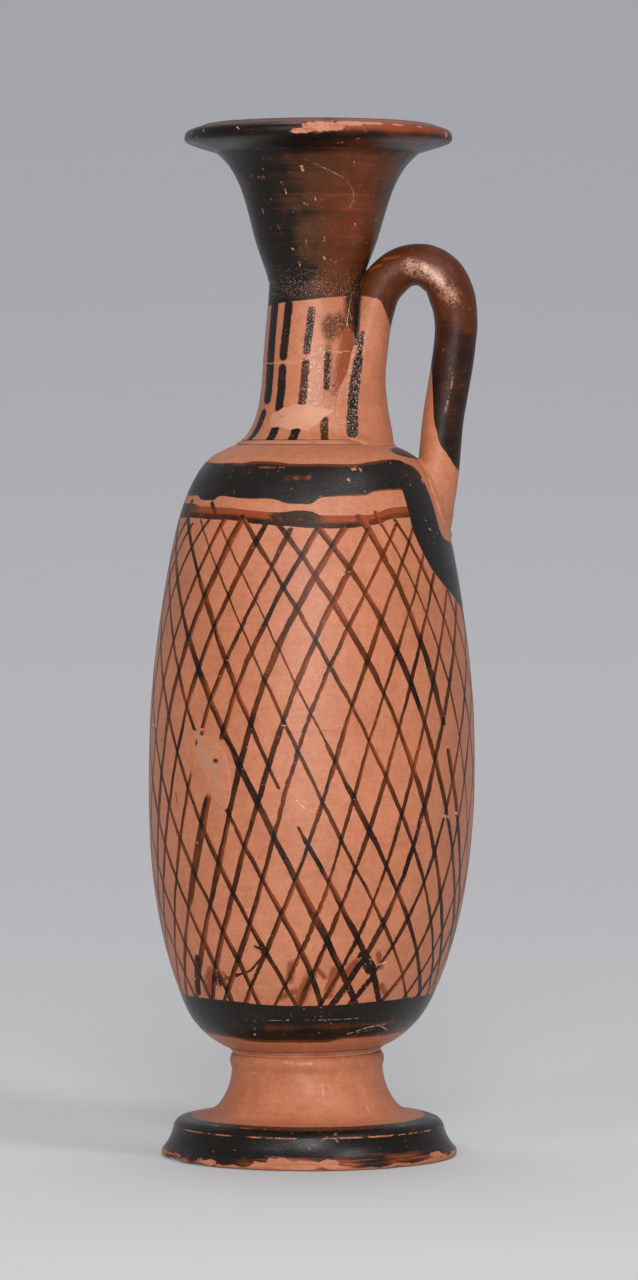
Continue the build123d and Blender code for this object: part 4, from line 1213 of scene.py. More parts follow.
class Finish:
    """One material of the pot, with the coordinates its paint is laid out on."""

    def __init__(self, name, flat=False):
        self.material = bpy.data.materials.new(name)
        self.material.use_nodes = True
        self.mixer = mixer = Mixer(self.material.node_tree)
        self.shader = self.material.node_tree.nodes["Principled BSDF"]
        coordinates = mixer.add("ShaderNodeTexCoord").outputs["Object"]
        self.place = mixer.stretch(coordinates, (1.0 / MM, 1.0 / MM, 1.0 / MM))
        spot = mixer.split(self.place)
        self.depth = spot[1]
        self.wheel = mixer.join(spot[0], spot[2], 1.0 / DEGREE) if flat else self.noted("wheel")
        self.azimuth, self.height, self.girth = mixer.split(self.wheel)
        self.bare, self.outside, _ = mixer.split(self.noted("state"))
        self.wobble = mixer.use("Hand wobble", Vector=self.place, Broad=0.16, Fine=0.1)["Offset"]
        shake = mixer.use("Hand wobble", Vector=self.place, Broad=0.1, Fine=0.22)["Offset"]
        self.jitter = mixer.plus(shake, mixer.swing(self.place, 3.2, 0.4))
        self.quiver = mixer.times(self.jitter, 0.35)

    def noted(self, name):
        return self.mixer.add("ShaderNodeAttribute", attribute_name=name).outputs["Vector"]

    def spot(self, azimuth, level, wide, tall, soft=0.12):
        return self.mixer.use("Oval spot", Wheel=self.wheel, Wobble=self.jitter, Azimuth=azimuth,
                              Level=level, Wide=wide, Tall=tall, Soft=soft)["Mask"]

    def line(self, azimuth, level, end_azimuth, end_level, wide, soft=0.07, wobble=None):
        wobble = self.wobble if wobble is None else wobble
        return self.mixer.use("Drawn line", Wheel=self.wheel, Wobble=wobble, Start_azimuth=azimuth,
                              Start_level=level, End_azimuth=end_azimuth, End_level=end_level, Wide=wide,
                              Soft=soft)["Mask"]

    def stroke(self, azimuth, level, end_azimuth, end_level, wide, soft=0.16):
        """A brush stroke with a ragged edge."""
        return self.line(azimuth, level, end_azimuth, end_level, wide, soft, self.jitter)

    def fleck(self, azimuth, level, end_azimuth, end_level, wide):
        """A short nick with an uneven edge."""
        return self.line(azimuth, level, end_azimuth, end_level, wide, 0.06, self.quiver)

    def glint_specks(self, zone):
        """Painted glints: bright points of broken surface in part of the wall, where it catches the light.
        """
        points = self.mixer.ramp(self.mixer.grain(self.place, 4.6, 1.0), 0.58, 0.68)
        return self.mixer.times(zone, points)

    def gather(self, make, rows):
        """One mask of many spots or lines."""
        total = make(*rows[0])
        for row in rows[1:]:
            total = self.mixer.most(total, make(*row))
        return total

    def band(self, low, high):
        return self.mixer.use("Painted band", Height=self.height, Wobble=self.wobble, Low=low, High=high)

    def sector(self, start, end, soft=3.0):
        """The part of the wall between two azimuths."""
        mixer = self.mixer
        return mixer.times(mixer.ramp(self.azimuth, start - soft, start + soft),
                           mixer.ramp(self.azimuth, end + soft, end - soft))

    def broken(self, mask, scale, low, high, patchy=0.0):
        """A mask that grit shows through, in some places more than in others where it is patchy."""
        grit = self.mixer.grain(self.place, scale, 3.0, 0.65)
        if patchy:
            grit = self.mixer.plus(grit, self.mixer.swing(self.place, 0.8, patchy))
        return self.mixer.times(mask, self.mixer.ramp(grit, low, high))

    def clay(self):
        clay_colours, _ = colours()
        return self.mixer.use("Fired clay", Vector=self.place, **clay_colours)

    def bare_edge(self):
        mixer = self.mixer
        return mixer.ramp(mixer.plus(self.bare, mixer.swing(self.place, 2.0, 0.9, 3.0)), 0.3, 0.6)

    def close(self, paint, thinness, clay, scratches, flaking=0.5, grain=1.0, polish=0.0, dull=0.0,
              relief=FINE_RELIEF, sheen=0.12, burnish=0.5, smooth=0.45, painted_glints=None, even=None):
        """Lay slip of a thickness over the clay by a mask, scratch it, add painted glints and feed the
        shader.
        """
        mixer = self.mixer
        _, slip_colours = colours()
        if even is not None:
            slip_colours["Even"] = even
        flakes = mixer.use("Flaking", Vector=self.place, Amount=flaking)["Mask"]
        worn = mixer.most(self.bare_edge(), flakes)
        laid = mixer.times(paint, mixer.clear_of(worn))
        slip = mixer.use("Fired slip", Vector=self.place, Thinness=thinness, Grain=grain, **slip_colours)
        shade = mixer.tint(laid, clay["Color"], slip["Color"])
        # Pale clay where scratched, and painted glints and a painted highlight where a finish mixes them in
        shade = mixer.tint(scratches, shade, CHALK_AND_GLINT)
        # Silver painted glints
        if painted_glints is not None:
            shade = mixer.tint(painted_glints, shade, GLINT_SILVER)
        rough = mixer.mix(laid, clay["Roughness"], slip["Roughness"])
        rough = mixer.times(mixer.plus(rough, dull), mixer.less(1.0, mixer.times(polish, 0.5)))
        self.shader.inputs["Specular IOR Level"].default_value = SLIP_GLOSS
        self.shader.inputs["Coat Roughness"].default_value = smooth
        mixer.feed(self.shader.inputs["Coat Weight"], mixer.mix(laid, burnish, sheen))
        height = mixer.plus(mixer.mix(laid, clay["Height"], slip["Height"]), mixer.times(laid, 0.7))
        self.settle(shade, rough, height, relief)

    def settle(self, shade, rough, height, relief=FINE_RELIEF):
        bump = self.mixer.add("ShaderNodeBump", {"Strength": 1.0, "Distance": relief, "Height": height})
        self.mixer.feed(self.shader.inputs["Base Color"], shade)
        self.mixer.feed(self.shader.inputs["Roughness"], rough)
        self.mixer.feed(self.shader.inputs["Normal"], bump.outputs[0])


def net_finish():
    """Belly and shoulder: reserved clay with the net, its bands and the drape below the handle."""
    finish = Finish("Net painted clay")
    mixer = finish.mixer
    clay = finish.clay()
    upper_foot = mixer.drawn(finish.azimuth, BAND_FOOT)
    upper = finish.band(upper_foot, mixer.drawn(finish.azimuth, BAND_TOP))
    thin_band = finish.band(mixer.drawn(finish.azimuth, THIN_FOOT), mixer.drawn(finish.azimuth, THIN_TOP))
    base = finish.band(mixer.drawn(finish.azimuth, BASE_FOOT), mixer.drawn(finish.azimuth, BASE_TOP))
    under = mixer.ramp(mixer.less(upper_foot, finish.height), 0.0, 0.2)
    slender = mixer.times(thin_band["Mask"], under)

    rising = mixer.use("Brush lines", Vector=finish.place, Line=finish.noted("rising"))
    falling = mixer.use("Brush lines", Vector=finish.place, Line=finish.noted("falling"))
    net = mixer.most(rising["Mask"], falling["Mask"], finish.gather(finish.line, STRAY_LINES))
    patch = finish.spot(*FILL_CLEARING)
    net = mixer.times(net, mixer.clear_of(patch), under)
    net = mixer.most(net, finish.gather(finish.spot, REMNANTS))
    net_thin = mixer.mix(rising["Mask"], falling["Thinness"], rising["Thinness"])
    net_thin = mixer.less(net_thin, mixer.times(rising["Mask"], falling["Mask"], 0.3))

    blots = finish.broken(finish.gather(finish.line, BLOTS), *BLOT_GRIT)
    smears = finish.broken(finish.gather(finish.line, SMEARS), *SMEAR_GRIT)

    rim = mixer.times(mixer.ramp(upper["Below"], 0.75, 0.1), finish.sector(*RIM_SECTOR))
    lower_rim = mixer.times(mixer.ramp(upper["Above"], 0.4, 0.1), finish.sector(*LOWER_RIM_SECTOR))
    streaks = finish.broken(finish.gather(finish.line, STREAKS), *STREAK_GRIT)
    upper_thin = mixer.plus(0.02, mixer.times(rim, 0.55), mixer.times(lower_rim, 0.75),
                            mixer.times(streaks, 0.95))
    dark = mixer.most(mixer.ramp(finish.azimuth, *DARK_LEFT), finish.sector(*POOL_SECTOR))
    pool = mixer.ramp(thin_band["Above"], 1.3, 0.6)
    fade = mixer.ramp(finish.azimuth, *BAND_FADE, 1.0, 0.5)
    band_thin = mixer.less(0.95, mixer.times(mixer.most(dark, mixer.times(pool, fade)), 0.72))
    base_thin = mixer.plus(mixer.ramp(base["Above"], 0.9, 0.1, 0.06, 0.62),
                           mixer.times(finish.line(*BASE_STREAK), 0.3))

    paint = mixer.most(net, upper["Mask"], slender, base["Mask"], blots, mixer.times(smears, 0.95))
    behind = finish.spot(*BEHIND_HANDLE)
    paint = mixer.times(mixer.most(paint, behind), finish.outside)
    thin = mixer.mix(slender, mixer.times(smears, 0.95), band_thin)
    thin = mixer.mix(net, thin, net_thin)
    thin = mixer.mix(upper["Mask"], thin, upper_thin)
    thin = mixer.mix(base["Mask"], thin, base_thin)
    thin = mixer.mix(mixer.most(blots, behind), thin, 0.2)
    scratches = finish.broken(finish.gather(finish.line, SCRATCHES), *SCRATCH_GRIT)
    pale = mixer.times(scratches, 0.7, finish.outside)
    sheen = mixer.times(mixer.most(upper["Mask"], base["Mask"]), 0.3)
    finish.close(paint, thin, clay, pale, flaking=0.6, sheen=sheen)
    return finish.material


def mouth_thinness(finish):
    """How thin the slip of the mouth is: thick on the left, brushed out brown in the middle."""
    mixer = finish.mixer
    warm = mixer.times(mixer.ramp(finish.azimuth, *WARM_FROM), mixer.ramp(finish.azimuth, *WARM_UNTIL))
    red = mixer.times(finish.sector(*MOUTH_RED_SECTOR), 0.1)
    dip = mixer.ramp(finish.height, *DIP_LEVELS, 0.0, 0.14)
    under = mixer.times(mixer.ramp(finish.height, *UNDER_LIP_FROM),
                        mixer.ramp(finish.height, *UNDER_LIP_UNTIL),
                        mixer.ramp(finish.azimuth, *UNDER_LIP_TURN, 0.2, 0.32))
    clouds = mixer.swing(mixer.stretch(finish.place, (0.6, 0.6, 1.0)), 0.26, 0.7, 4.0)
    lines = mixer.swing(mixer.stretch(finish.place, (0.04, 0.04, 2.4)), 1.0, 0.3, 2.0)
    thin = mixer.plus(0.06, mixer.times(warm, 0.41), red, clouds, lines)
    return mixer.less(thin, mixer.plus(dip, under))


def neck_finish():
    """Neck: reserved clay under the dark mouth, with upright strokes, a crack, a red smear and painted
    glints.
    """
    finish = Finish("Stroke painted clay")
    mixer = finish.mixer
    clay = finish.clay()
    edge = mixer.plus(MOUTH_HEM, mixer.times(finish.azimuth, MOUTH_HEM_LEAN))
    cap = mixer.ramp(mixer.less(mixer.plus(finish.height, finish.wobble), edge), -0.1, 0.1)
    strokes = finish.broken(finish.gather(finish.stroke, NECK_STROKES), *STROKE_GRIT)
    worn = finish.broken(finish.gather(finish.stroke, WORN_STROKES), *WORN_GRIT)
    fuzz = finish.broken(finish.gather(finish.spot, NECK_FUZZ), *FUZZ_GRIT)
    flush = finish.broken(finish.gather(finish.line, NECK_FLUSH), *FLUSH_GRIT)
    crack_level = mixer.plus(mixer.ramp(finish.azimuth, *CRACK_TURN, *CRACK_LEVELS),
                             mixer.swing(finish.place, 0.5, 1.2, 3.0),
                             mixer.swing(finish.place, 1.7, 0.7, 3.0))
    crack = mixer.ramp(mixer.apart(finish.height, crack_level), 0.15, 0.05)
    crack = mixer.times(crack, finish.sector(*CRACK_SECTOR))
    paint = mixer.most(cap, strokes, worn, mixer.times(fuzz, 0.8), mixer.times(flush, 0.85))
    paint = mixer.times(paint, finish.outside, mixer.clear_of(crack))
    thin = mixer.mix(mixer.most(worn, fuzz), 0.12, 0.26)
    thin = mixer.mix(flush, thin, 1.0)
    thin = mixer.mix(cap, thin, mouth_thinness(finish))
    branches = finish.gather(finish.line, NECK_SCRATCHES)
    # Painted glints along the foot of the mouth's slip and on the torn places of the strokes
    grit = finish.glint_specks(mixer.ramp(finish.height, *NECK_GRIT_LEVELS))
    torn_glints = finish.glint_specks(finish.gather(finish.stroke, TORN_GLINT_PLACES))
    scratches = mixer.plus(mixer.times(branches, 0.7), mixer.times(crack, 0.3), mixer.times(grit, 0.34))
    pale = mixer.times(scratches, finish.outside)
    finish.close(paint, thin, clay, pale, flaking=0.45, grain=1.4, polish=0.5, relief=COARSE_RELIEF,
                 painted_glints=mixer.times(torn_glints, finish.outside, 0.7))
    return finish.material


def mouth_finish():
    """Mouth: slip brushed round, black on the left and brown where it was thinned, with painted glints near
    its foot.
    """
    finish = Finish("Brushed mouth slip")
    mixer = finish.mixer
    clay = finish.clay()
    rim = finish.gather(finish.line, LIP_STREAKS)
    thin = mixer.plus(mouth_thinness(finish), mixer.times(rim, 0.5))
    scratches = finish.broken(finish.gather(finish.line, MOUTH_SCRATCHES), *MOUTH_SCRATCH_GRIT)
    flecks = finish.broken(finish.gather(finish.fleck, MOUTH_FLECKS), *FLECK_GRIT)
    # Painted glints near the foot of the mouth
    grit = finish.glint_specks(mixer.ramp(finish.height, *MOUTH_GRIT_LEVELS))
    pale = mixer.most(mixer.times(scratches, 0.3), mixer.times(flecks, 0.65), mixer.times(grit, 0.2))
    brown = bpy.context.scene.lekythos_paint.slip_brown
    cloud = mixer.ramp(mixer.grain(finish.place, 0.14, 2.0), 0.36, 0.62)
    tinge = mixer.times(finish.sector(*MOUTH_OLIVE_SECTOR), cloud, 0.6)
    even = mixer.tint(tinge, tuple(brown), OLIVE)
    finish.close(finish.outside, thin, clay, pale, grain=0.6, even=even)
    return finish.material


def handle_finish():
    """Handle: brown slip over the arch and down the outer leg, reserved clay at both roots, a painted
    highlight on the arch and painted glints on the inner leg.
    """
    finish = Finish("Brushed handle slip", flat=True)
    mixer = finish.mixer
    clay = finish.clay()
    across = finish.azimuth
    low = mixer.mix(mixer.ramp(across, *LEG_CHANGE), mixer.drawn(across, INNER_LEG_EDGE),
                    mixer.drawn(across, OUTER_LEG_EDGE))
    hem = mixer.plus(finish.height, finish.wobble, mixer.times(finish.jitter, 0.8))
    slip = mixer.ramp(mixer.less(hem, low), -0.1, 0.1)
    front = mixer.ramp(finish.depth, 0.5, -0.5)
    leg = finish.gather(finish.stroke, LEG_STROKES)
    stroke = finish.broken(leg, *LEG_GRIT)
    # The dark stroke in the crevice by the neck is slip with painted shade
    stroke = mixer.times(mixer.most(stroke, finish.line(*LEG_SHADE)), front)
    rubbed = finish.broken(finish.gather(finish.stroke, ARCH_WEAR), *RUBBED_GRIT)
    rubbed = mixer.times(rubbed, mixer.ramp(finish.depth, 1.5, -1.0))
    # A painted highlight on the worn arch, in pale clay colour
    painted_highlight = mixer.times(finish.broken(finish.line(*ARCH_PAINTED_HIGHLIGHT), *PAINTED_HIGHLIGHT_GRIT), front)
    orange = finish.gather(finish.line, ARCH_STREAKS)
    arch = mixer.ramp(finish.height, *ARCH_RISE, 0.2, 0.42)
    crown = mixer.ramp(finish.height, *ARCH_CROWN, 0.0, 0.1)
    thin = mixer.plus(mixer.less(arch, crown), mixer.times(rubbed, 0.3), mixer.times(orange, 0.5))
    thin = mixer.mix(stroke, thin, 0.22)
    paint = mixer.most(mixer.times(slip, mixer.clear_of(mixer.times(rubbed, 0.55))), stroke)
    scratches = finish.broken(finish.gather(finish.line, HANDLE_SCRATCHES), *HANDLE_SCRATCH_GRIT)
    pale = mixer.plus(mixer.times(scratches, front, 0.5), mixer.times(rubbed, 0.25),
                      mixer.times(painted_highlight, 0.95))
    # Painted glints on the inner leg
    glint = mixer.times(finish.glint_specks(mixer.most(leg, finish.stroke(*LEG_GLINT))), front, 0.7)
    finish.close(paint, thin, clay, pale, grain=0.9, polish=mixer.most(rubbed, painted_highlight), dull=0.1,
                 painted_glints=glint)
    return finish.material


def foot_finish():
    """Foot: reserved stem over a black disc, rubbed to clay along its edges."""
    finish = Finish("Foot slip")
    mixer = finish.mixer
    clay = finish.clay()
    disc = mixer.ramp(mixer.plus(finish.girth, finish.wobble), DISC_RADIUS - 0.1, DISC_RADIUS + 0.1)
    hem = mixer.drawn(finish.azimuth, FOOT_HEM)
    ragged = mixer.plus(mixer.times(finish.jitter, 1.5),
                        mixer.swing(mixer.stretch(finish.place, (0.45, 0.45, 2.0)), 0.9, 1.6, 3.0))
    low = mixer.ramp(mixer.less(mixer.plus(finish.height, ragged), hem), -0.1, 0.1)
    paint = mixer.times(disc, low, mixer.ramp(finish.height, DISC_TOP + 0.2, DISC_TOP - 0.2))
    rub = mixer.plus(mixer.apart(finish.height, ARRIS_HEIGHT), mixer.times(finish.jitter, 0.5))
    arris = mixer.ramp(rub, 0.16, 0.04)
    shelf = mixer.ramp(mixer.apart(finish.girth, SHELF_RADIUS), 0.2, 0.08)
    worn = mixer.times(arris, mixer.ramp(mixer.grain(finish.place, 0.24, 4.0, 0.7), 0.46, 0.54))
    scuffed = mixer.times(shelf, mixer.ramp(mixer.grain(finish.place, 0.3, 3.0, 0.6), 0.56, 0.62))
    paint = mixer.times(paint, mixer.clear_of(mixer.most(worn, scuffed)), finish.outside)
    drag = mixer.ramp(mixer.grain(mixer.stretch(finish.place, (0.12, 0.12, 2.2)), 1.0, 3.0), 0.42, 0.6)
    red = mixer.times(mixer.ramp(finish.height, *FOOT_RED_LEVELS), finish.sector(*FOOT_RED_SECTOR), drag)
    thin = mixer.plus(0.05, mixer.times(red, 0.75), mixer.ramp(finish.height, *FOOT_THIN_LEVELS, 0.0, 0.15))
    scratches = finish.broken(finish.gather(finish.line, FOOT_SCRATCHES), *FOOT_SCRATCH_GRIT)
    finish.close(paint, thin, clay, mixer.times(scratches, 0.5), flaking=0.45, grain=0.9, sheen=0.22,
                 burnish=0.14, smooth=0.3)
    return finish.material


def plaster_finish():
    """Toned plaster: smooth, near the clay in colour, with grey smears, remnants of paint and painted shade
    in its creases.
    """
    finish = Finish("Toned plaster")
    mixer = finish.mixer
    pale = bpy.context.scene.lekythos_paint.plaster_pale
    cloud = mixer.grain(finish.place, 0.4, 3.0, 0.6)
    grit = mixer.grain(finish.place, 2.8, 3.0, 0.65)
    body = mixer.tint(mixer.ramp(cloud, 0.35, 0.65), tuple(0.86 * part for part in pale), tuple(pale))
    body = mixer.tint(mixer.ramp(finish.height, *PLASTER_LEVELS, 0.12, 0.8), finish.clay()["Color"], body)
    # The creases are darkened: painted shade
    crease = finish.gather(finish.line, FILL_CREASES)
    body = mixer.tint(mixer.times(crease, 0.4), body, CREASE_SHADE)
    smear = finish.broken(finish.gather(finish.line, FILL_SMEARS), *FILL_SMEAR_GRIT)
    body = mixer.tint(mixer.times(smear, 0.75), body, GREY_SMEAR)
    body = mixer.tint(finish.gather(finish.spot, REMNANTS), body, OLD_PAINT)
    rough = mixer.ramp(cloud, 0.3, 0.7, 0.42, 0.6)
    finish.settle(body, rough, mixer.plus(cloud, mixer.times(grit, 0.8), mixer.times(crease, -0.6)))
    return finish.material


def seam_finish():
    """Slip that lutes the pieces: clay, a shade darker, with pale rubbed stretches."""
    finish = Finish("Luting slip")
    mixer = finish.mixer
    clay = finish.clay()
    rub = mixer.ramp(mixer.grain(mixer.stretch(finish.place, (0.12, 0.12, 0.3)), 1.0, 3.0), 0.48, 0.6)
    dull = mixer.tint(0.12, clay["Color"], LUTING_SHADE)
    finish.settle(mixer.tint(mixer.times(rub, 0.2), dull, CHALK_AND_GLINT), clay["Roughness"], clay["Height"])
    return finish.material


FINISHES = {
    "net": net_finish, "neck": neck_finish, "mouth": mouth_finish, "handle": handle_finish,
    "foot": foot_finish, "plaster": plaster_finish, "seam": seam_finish,
}
MADE_FINISHES = {}


def coat(piece, finish):
    """Give a piece its finish, made on first use, in a slot of its own."""
    if not MADE_FINISHES:
        for build in GROUPS:
            build()
    if finish not in MADE_FINISHES:
        MADE_FINISHES[finish] = FINISHES[finish]()
    piece.data.materials.clear()
    piece.data.materials.append(MADE_FINISHES[finish])


# Stations of the walls, taken from the frame
bpy.context.view_layer.update()
SHOULDER_WALL = climb("shoulder", SHOULDER_BASE, SHOULDER_TOP, SHOULDER_ROWS)
NECK_WALL = climb("neck", NECK_BASE, NECK_TOP, NECK_ROWS)
MOUTH_WALL = climb("mouth", MOUTH_BASE, CROWN, MOUTH_ROWS)
BELLY_WALL = climb("belly", BELLY_BASE, BELLY_TOP, BELLY_ROWS)
FOOT_WALL = climb("foot", 0.0, FOOT_TOP, FOOT_ROWS)
pot_wall = radius_of(SHOULDER_WALL + NECK_WALL + MOUTH_WALL)


def lipped(radius, height, way):
    """Stations that carry a wall square up to the edge of its joint."""
    return [(radius, height - way * CREASE), (radius, height)]


BELLY_WALL += lipped(BELLY_WALL[-1][0], BODY_SEAM - 0.5 * HAIRLINE, 1.0)
SHOULDER_WALL[:0] = reversed(lipped(SHOULDER_WALL[0][0], BODY_SEAM + 0.5 * HAIRLINE, -1.0))
NECK_WALL += lipped(NECK_WALL[-1][0], MOUTH_SEAM + CREASE, 1.0)
MOUTH_WALL[:0] = reversed(lipped(NECK_WALL[-1][0] + NUDGE, MOUTH_SEAM, -1.0))


class LEKYTHOS_OT_foot(bpy.types.Operator):
    """Turn the foot: a disc with a worn edge, a flaring stem and a hollow underside"""
    bl_idname = "lekythos.foot"
    bl_label = "Foot"

    def execute(self, context):
        apex = wall_top("foot")
        hollow = [(POLE, apex)] + climb("foot", 0.0, apex, HOLLOW_ROWS, inner=True)
        piece = throw("foot_turned", hollow + FOOT_WALL + [(POLE, FOOT_TOP)], FOOT_STEPS)
        dress(piece, FOOT_CHIPS, uneven=0.06)
        coat(piece, "foot")
        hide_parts("foot")
        return {"FINISHED"}


class LEKYTHOS_OT_body(bpy.types.Operator):
    """Turn the belly and the shoulder, the two thrown halves of the body"""
    bl_idname = "lekythos.body"
    bl_label = "Belly and shoulder"

    def execute(self, context):
        floor = BELLY_BASE + BELLY_FLOOR
        inside = climb("belly", floor, BELLY_TOP, CAVITY_ROWS, inner=True)
        rim = (inside[0][0], BELLY_WALL[-1][1])
        stations = [(POLE, BELLY_BASE)] + BELLY_WALL + [rim] + inside + [(POLE, floor)]
        belly = throw("belly_turned", stations, BODY_STEPS)
        dress(belly, BODY_CHIPS, radius_of(BELLY_WALL), net=True)
        coat(belly, "net")
        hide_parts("belly")
        inside = climb("shoulder", SHOULDER_BASE, SHOULDER_TOP, CAVITY_ROWS, inner=True)
        stations = SHOULDER_WALL + [(inside[0][0], SHOULDER_TOP)] + inside
        stations = stations + [(inside[-1][0], SHOULDER_WALL[0][1]), SHOULDER_WALL[0]]
        shoulder = throw("shoulder_turned", stations, BODY_STEPS)
        dress(shoulder, BODY_CHIPS, radius_of(SHOULDER_WALL), net=True)
        coat(shoulder, "net")
        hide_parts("shoulder")
        return {"FINISHED"}


class LEKYTHOS_OT_neck(bpy.types.Operator):
    """Turn the neck, a waisted tube"""
    bl_idname = "lekythos.neck"
    bl_label = "Neck"

    def execute(self, context):
        middle = 0.5 * (NECK_BASE + NECK_TOP)
        bore = wall("neck", middle, inner=True)
        inside = [(bore, NECK_WALL[-1][1]), (bore, middle), (bore, NECK_BASE)]
        neck = throw("neck_turned", NECK_WALL + inside + [NECK_WALL[0]], NECK_STEPS)
        dress(neck, (), radius_of(NECK_WALL))
        coat(neck, "neck")
        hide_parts("neck")
        return {"FINISHED"}


class LEKYTHOS_OT_mouth(bpy.types.Operator):
    """Turn the mouth, a funnel with an overhanging chipped lip"""
    bl_idname = "lekythos.mouth"
    bl_label = "Mouth"

    def execute(self, context):
        funnel = climb("mouth", MOUTH_BASE, CROWN, FUNNEL_ROWS, inner=True)
        crest = (0.5 * (MOUTH_WALL[-1][0] + funnel[0][0]), CROWN + LIP_CREST)
        mouth = throw("mouth_turned", MOUTH_WALL + [crest] + funnel + [MOUTH_WALL[0]], MOUTH_STEPS)
        spots = places(mouth)
        sag = np.clip((np.hypot(spots[:, 0], spots[:, 1]) - SAG_START) / SAG_WIDE, 0.0, 1.0)
        spots[:, 2] -= context.scene.lekythos_form.lip_droop * sag * sag * (3.0 - 2.0 * sag)
        settle(mouth, spots)
        dress(mouth, LIP_CHIPS, uneven=0.05)
        coat(mouth, "mouth")
        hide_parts("mouth")
        return {"FINISHED"}


class LEKYTHOS_OT_handle(bpy.types.Operator):
    """Pull the handle along its middle line, and smear slip round both its roots"""
    bl_idname = "lekythos.handle"
    bl_label = "Handle and its slip"

    def execute(self, context):
        section = begin("rod_section", bpy.ops.curve.primitive_bezier_circle_add, radius=1.0)
        section.data.resolution_u = ROD_ROUND
        shrink = Vector((0.5 * ROD_WIDE * MM, 0.5 * ROD_THICK * MM, 0.0))
        for point in section.data.splines[0].bezier_points:
            point.handle_left = point.handle_left * shrink
            point.handle_right = point.handle_right * shrink
            point.co = point.co * shrink
        line = begin("handle_pulled", bpy.ops.curve.primitive_bezier_curve_add)
        spline = line.data.splines[0]
        spline.bezier_points.add(len(HANDLE_LINE) - len(spline.bezier_points))
        for point, (across, height, swell) in zip(spline.bezier_points, HANDLE_LINE):
            point.co = (across * MM, 0.0, height * MM)
            point.radius = swell
            point.handle_left_type = "AUTO"
            point.handle_right_type = "AUTO"
        spline.resolution_u = ROD_SMOOTH
        line.data.bevel_mode = "OBJECT"
        line.data.bevel_object = section
        line.data.use_fill_caps = True
        bpy.ops.object.convert(target="MESH")
        handle = fresh(bpy.context.object, "handle_pulled")
        bpy.data.objects.remove(section)
        finish_mesh(handle, FINE_ROUNDS)
        settle(handle, self.drawn_out(places(handle)))
        radius = context.scene.lekythos_form.smear
        self.smear(handle, "handle_top_luting", "neck_smear", -1.0, radius)
        self.smear(handle, "handle_bottom_luting", "shoulder_smear", 1.0, radius)
        fresh(handle, "handle_pulled")
        dress(handle, (), uneven=0.1)
        coat(handle, "handle")
        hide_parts("handle")
        return {"FINISHED"}

    def drawn_out(self, spots):
        """Draw both legs out sideways over the wall, ever thinner."""
        height = spots[:, 2]
        inner = np.interp(height, NECK_ROOT_LEVELS, NECK_ROOT)
        outer = np.interp(height, SHOULDER_ROOT_LEVELS, SHOULDER_ROOT)
        reach = np.where(spots[:, 0] < LEGS_PART, inner, outer)
        slide = reach * (1.0 - np.sqrt(np.clip(self.standoff(spots) / ROOT_THICK, 0.0, 1.0)))
        angles = azimuths(spots)
        side = np.clip((angles - HANDLE_AZIMUTH) / ROOT_TURN, -1.0, 1.0)
        girth = np.hypot(spots[:, 0], spots[:, 1])
        turned = np.radians(angles) + side * slide / girth
        return np.column_stack((girth * np.sin(turned), -girth * np.cos(turned), height))

    def smear(self, handle, node, name, side, radius):
        """Copy the rod near the wall, and swell it into a fillet that thins out up the rod."""
        fresh(handle, handle.name)
        bpy.ops.object.duplicate()
        piece = fresh(bpy.context.object, name)
        spots = places(piece)
        apart = self.standoff(spots)
        legs = (spots[:, 0] - LEGS_PART) * side > 0.0
        keep = (apart > -SMEAR_DEPTH) & (apart < radius + SMEAR_MARGIN) & legs
        bpy.context.tool_settings.mesh_select_mode = (False, False, True)
        for polygon in piece.data.polygons:
            polygon.select = all(keep[index] for index in polygon.vertices)
        bpy.ops.object.mode_set(mode="EDIT")
        bpy.ops.mesh.select_all(action="INVERT")
        bpy.ops.mesh.delete(type="FACE")
        bpy.ops.object.mode_set(mode="OBJECT")
        if not 0 < len(piece.data.vertices) < len(spots):
            raise RuntimeError(f"{name} found no wall to lie on")
        spots = places(piece)
        facing = outward(piece)
        apart = self.standoff(spots)
        short = np.clip(radius - np.maximum(apart, 0.0), 0.0, radius)
        swell = radius - np.sqrt(np.maximum(radius * radius - short * short, 0.0))
        swell = swell * (SMEAR_FULL + SMEAR_LUMPS * ripple(spots, SMEAR_LUMP)) - SMEAR_TUCK
        settle(piece, spots + facing * swell[:, None])
        thicken(piece, "Body of the slip", SMEAR_THICK)
        dress(piece, (), uneven=0.05)
        coat(piece, "handle")
        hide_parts(node)

    def standoff(self, spots):
        """How far each place stands off the wall of the pot."""
        girth = np.hypot(spots[:, 0], spots[:, 1])
        heights = spots[:, 2]
        slope = (pot_wall(heights + SLOPE_STEP) - pot_wall(heights - SLOPE_STEP)) / (2.0 * SLOPE_STEP)
        return (girth - pot_wall(heights)) / np.sqrt(1.0 + slope * slope)


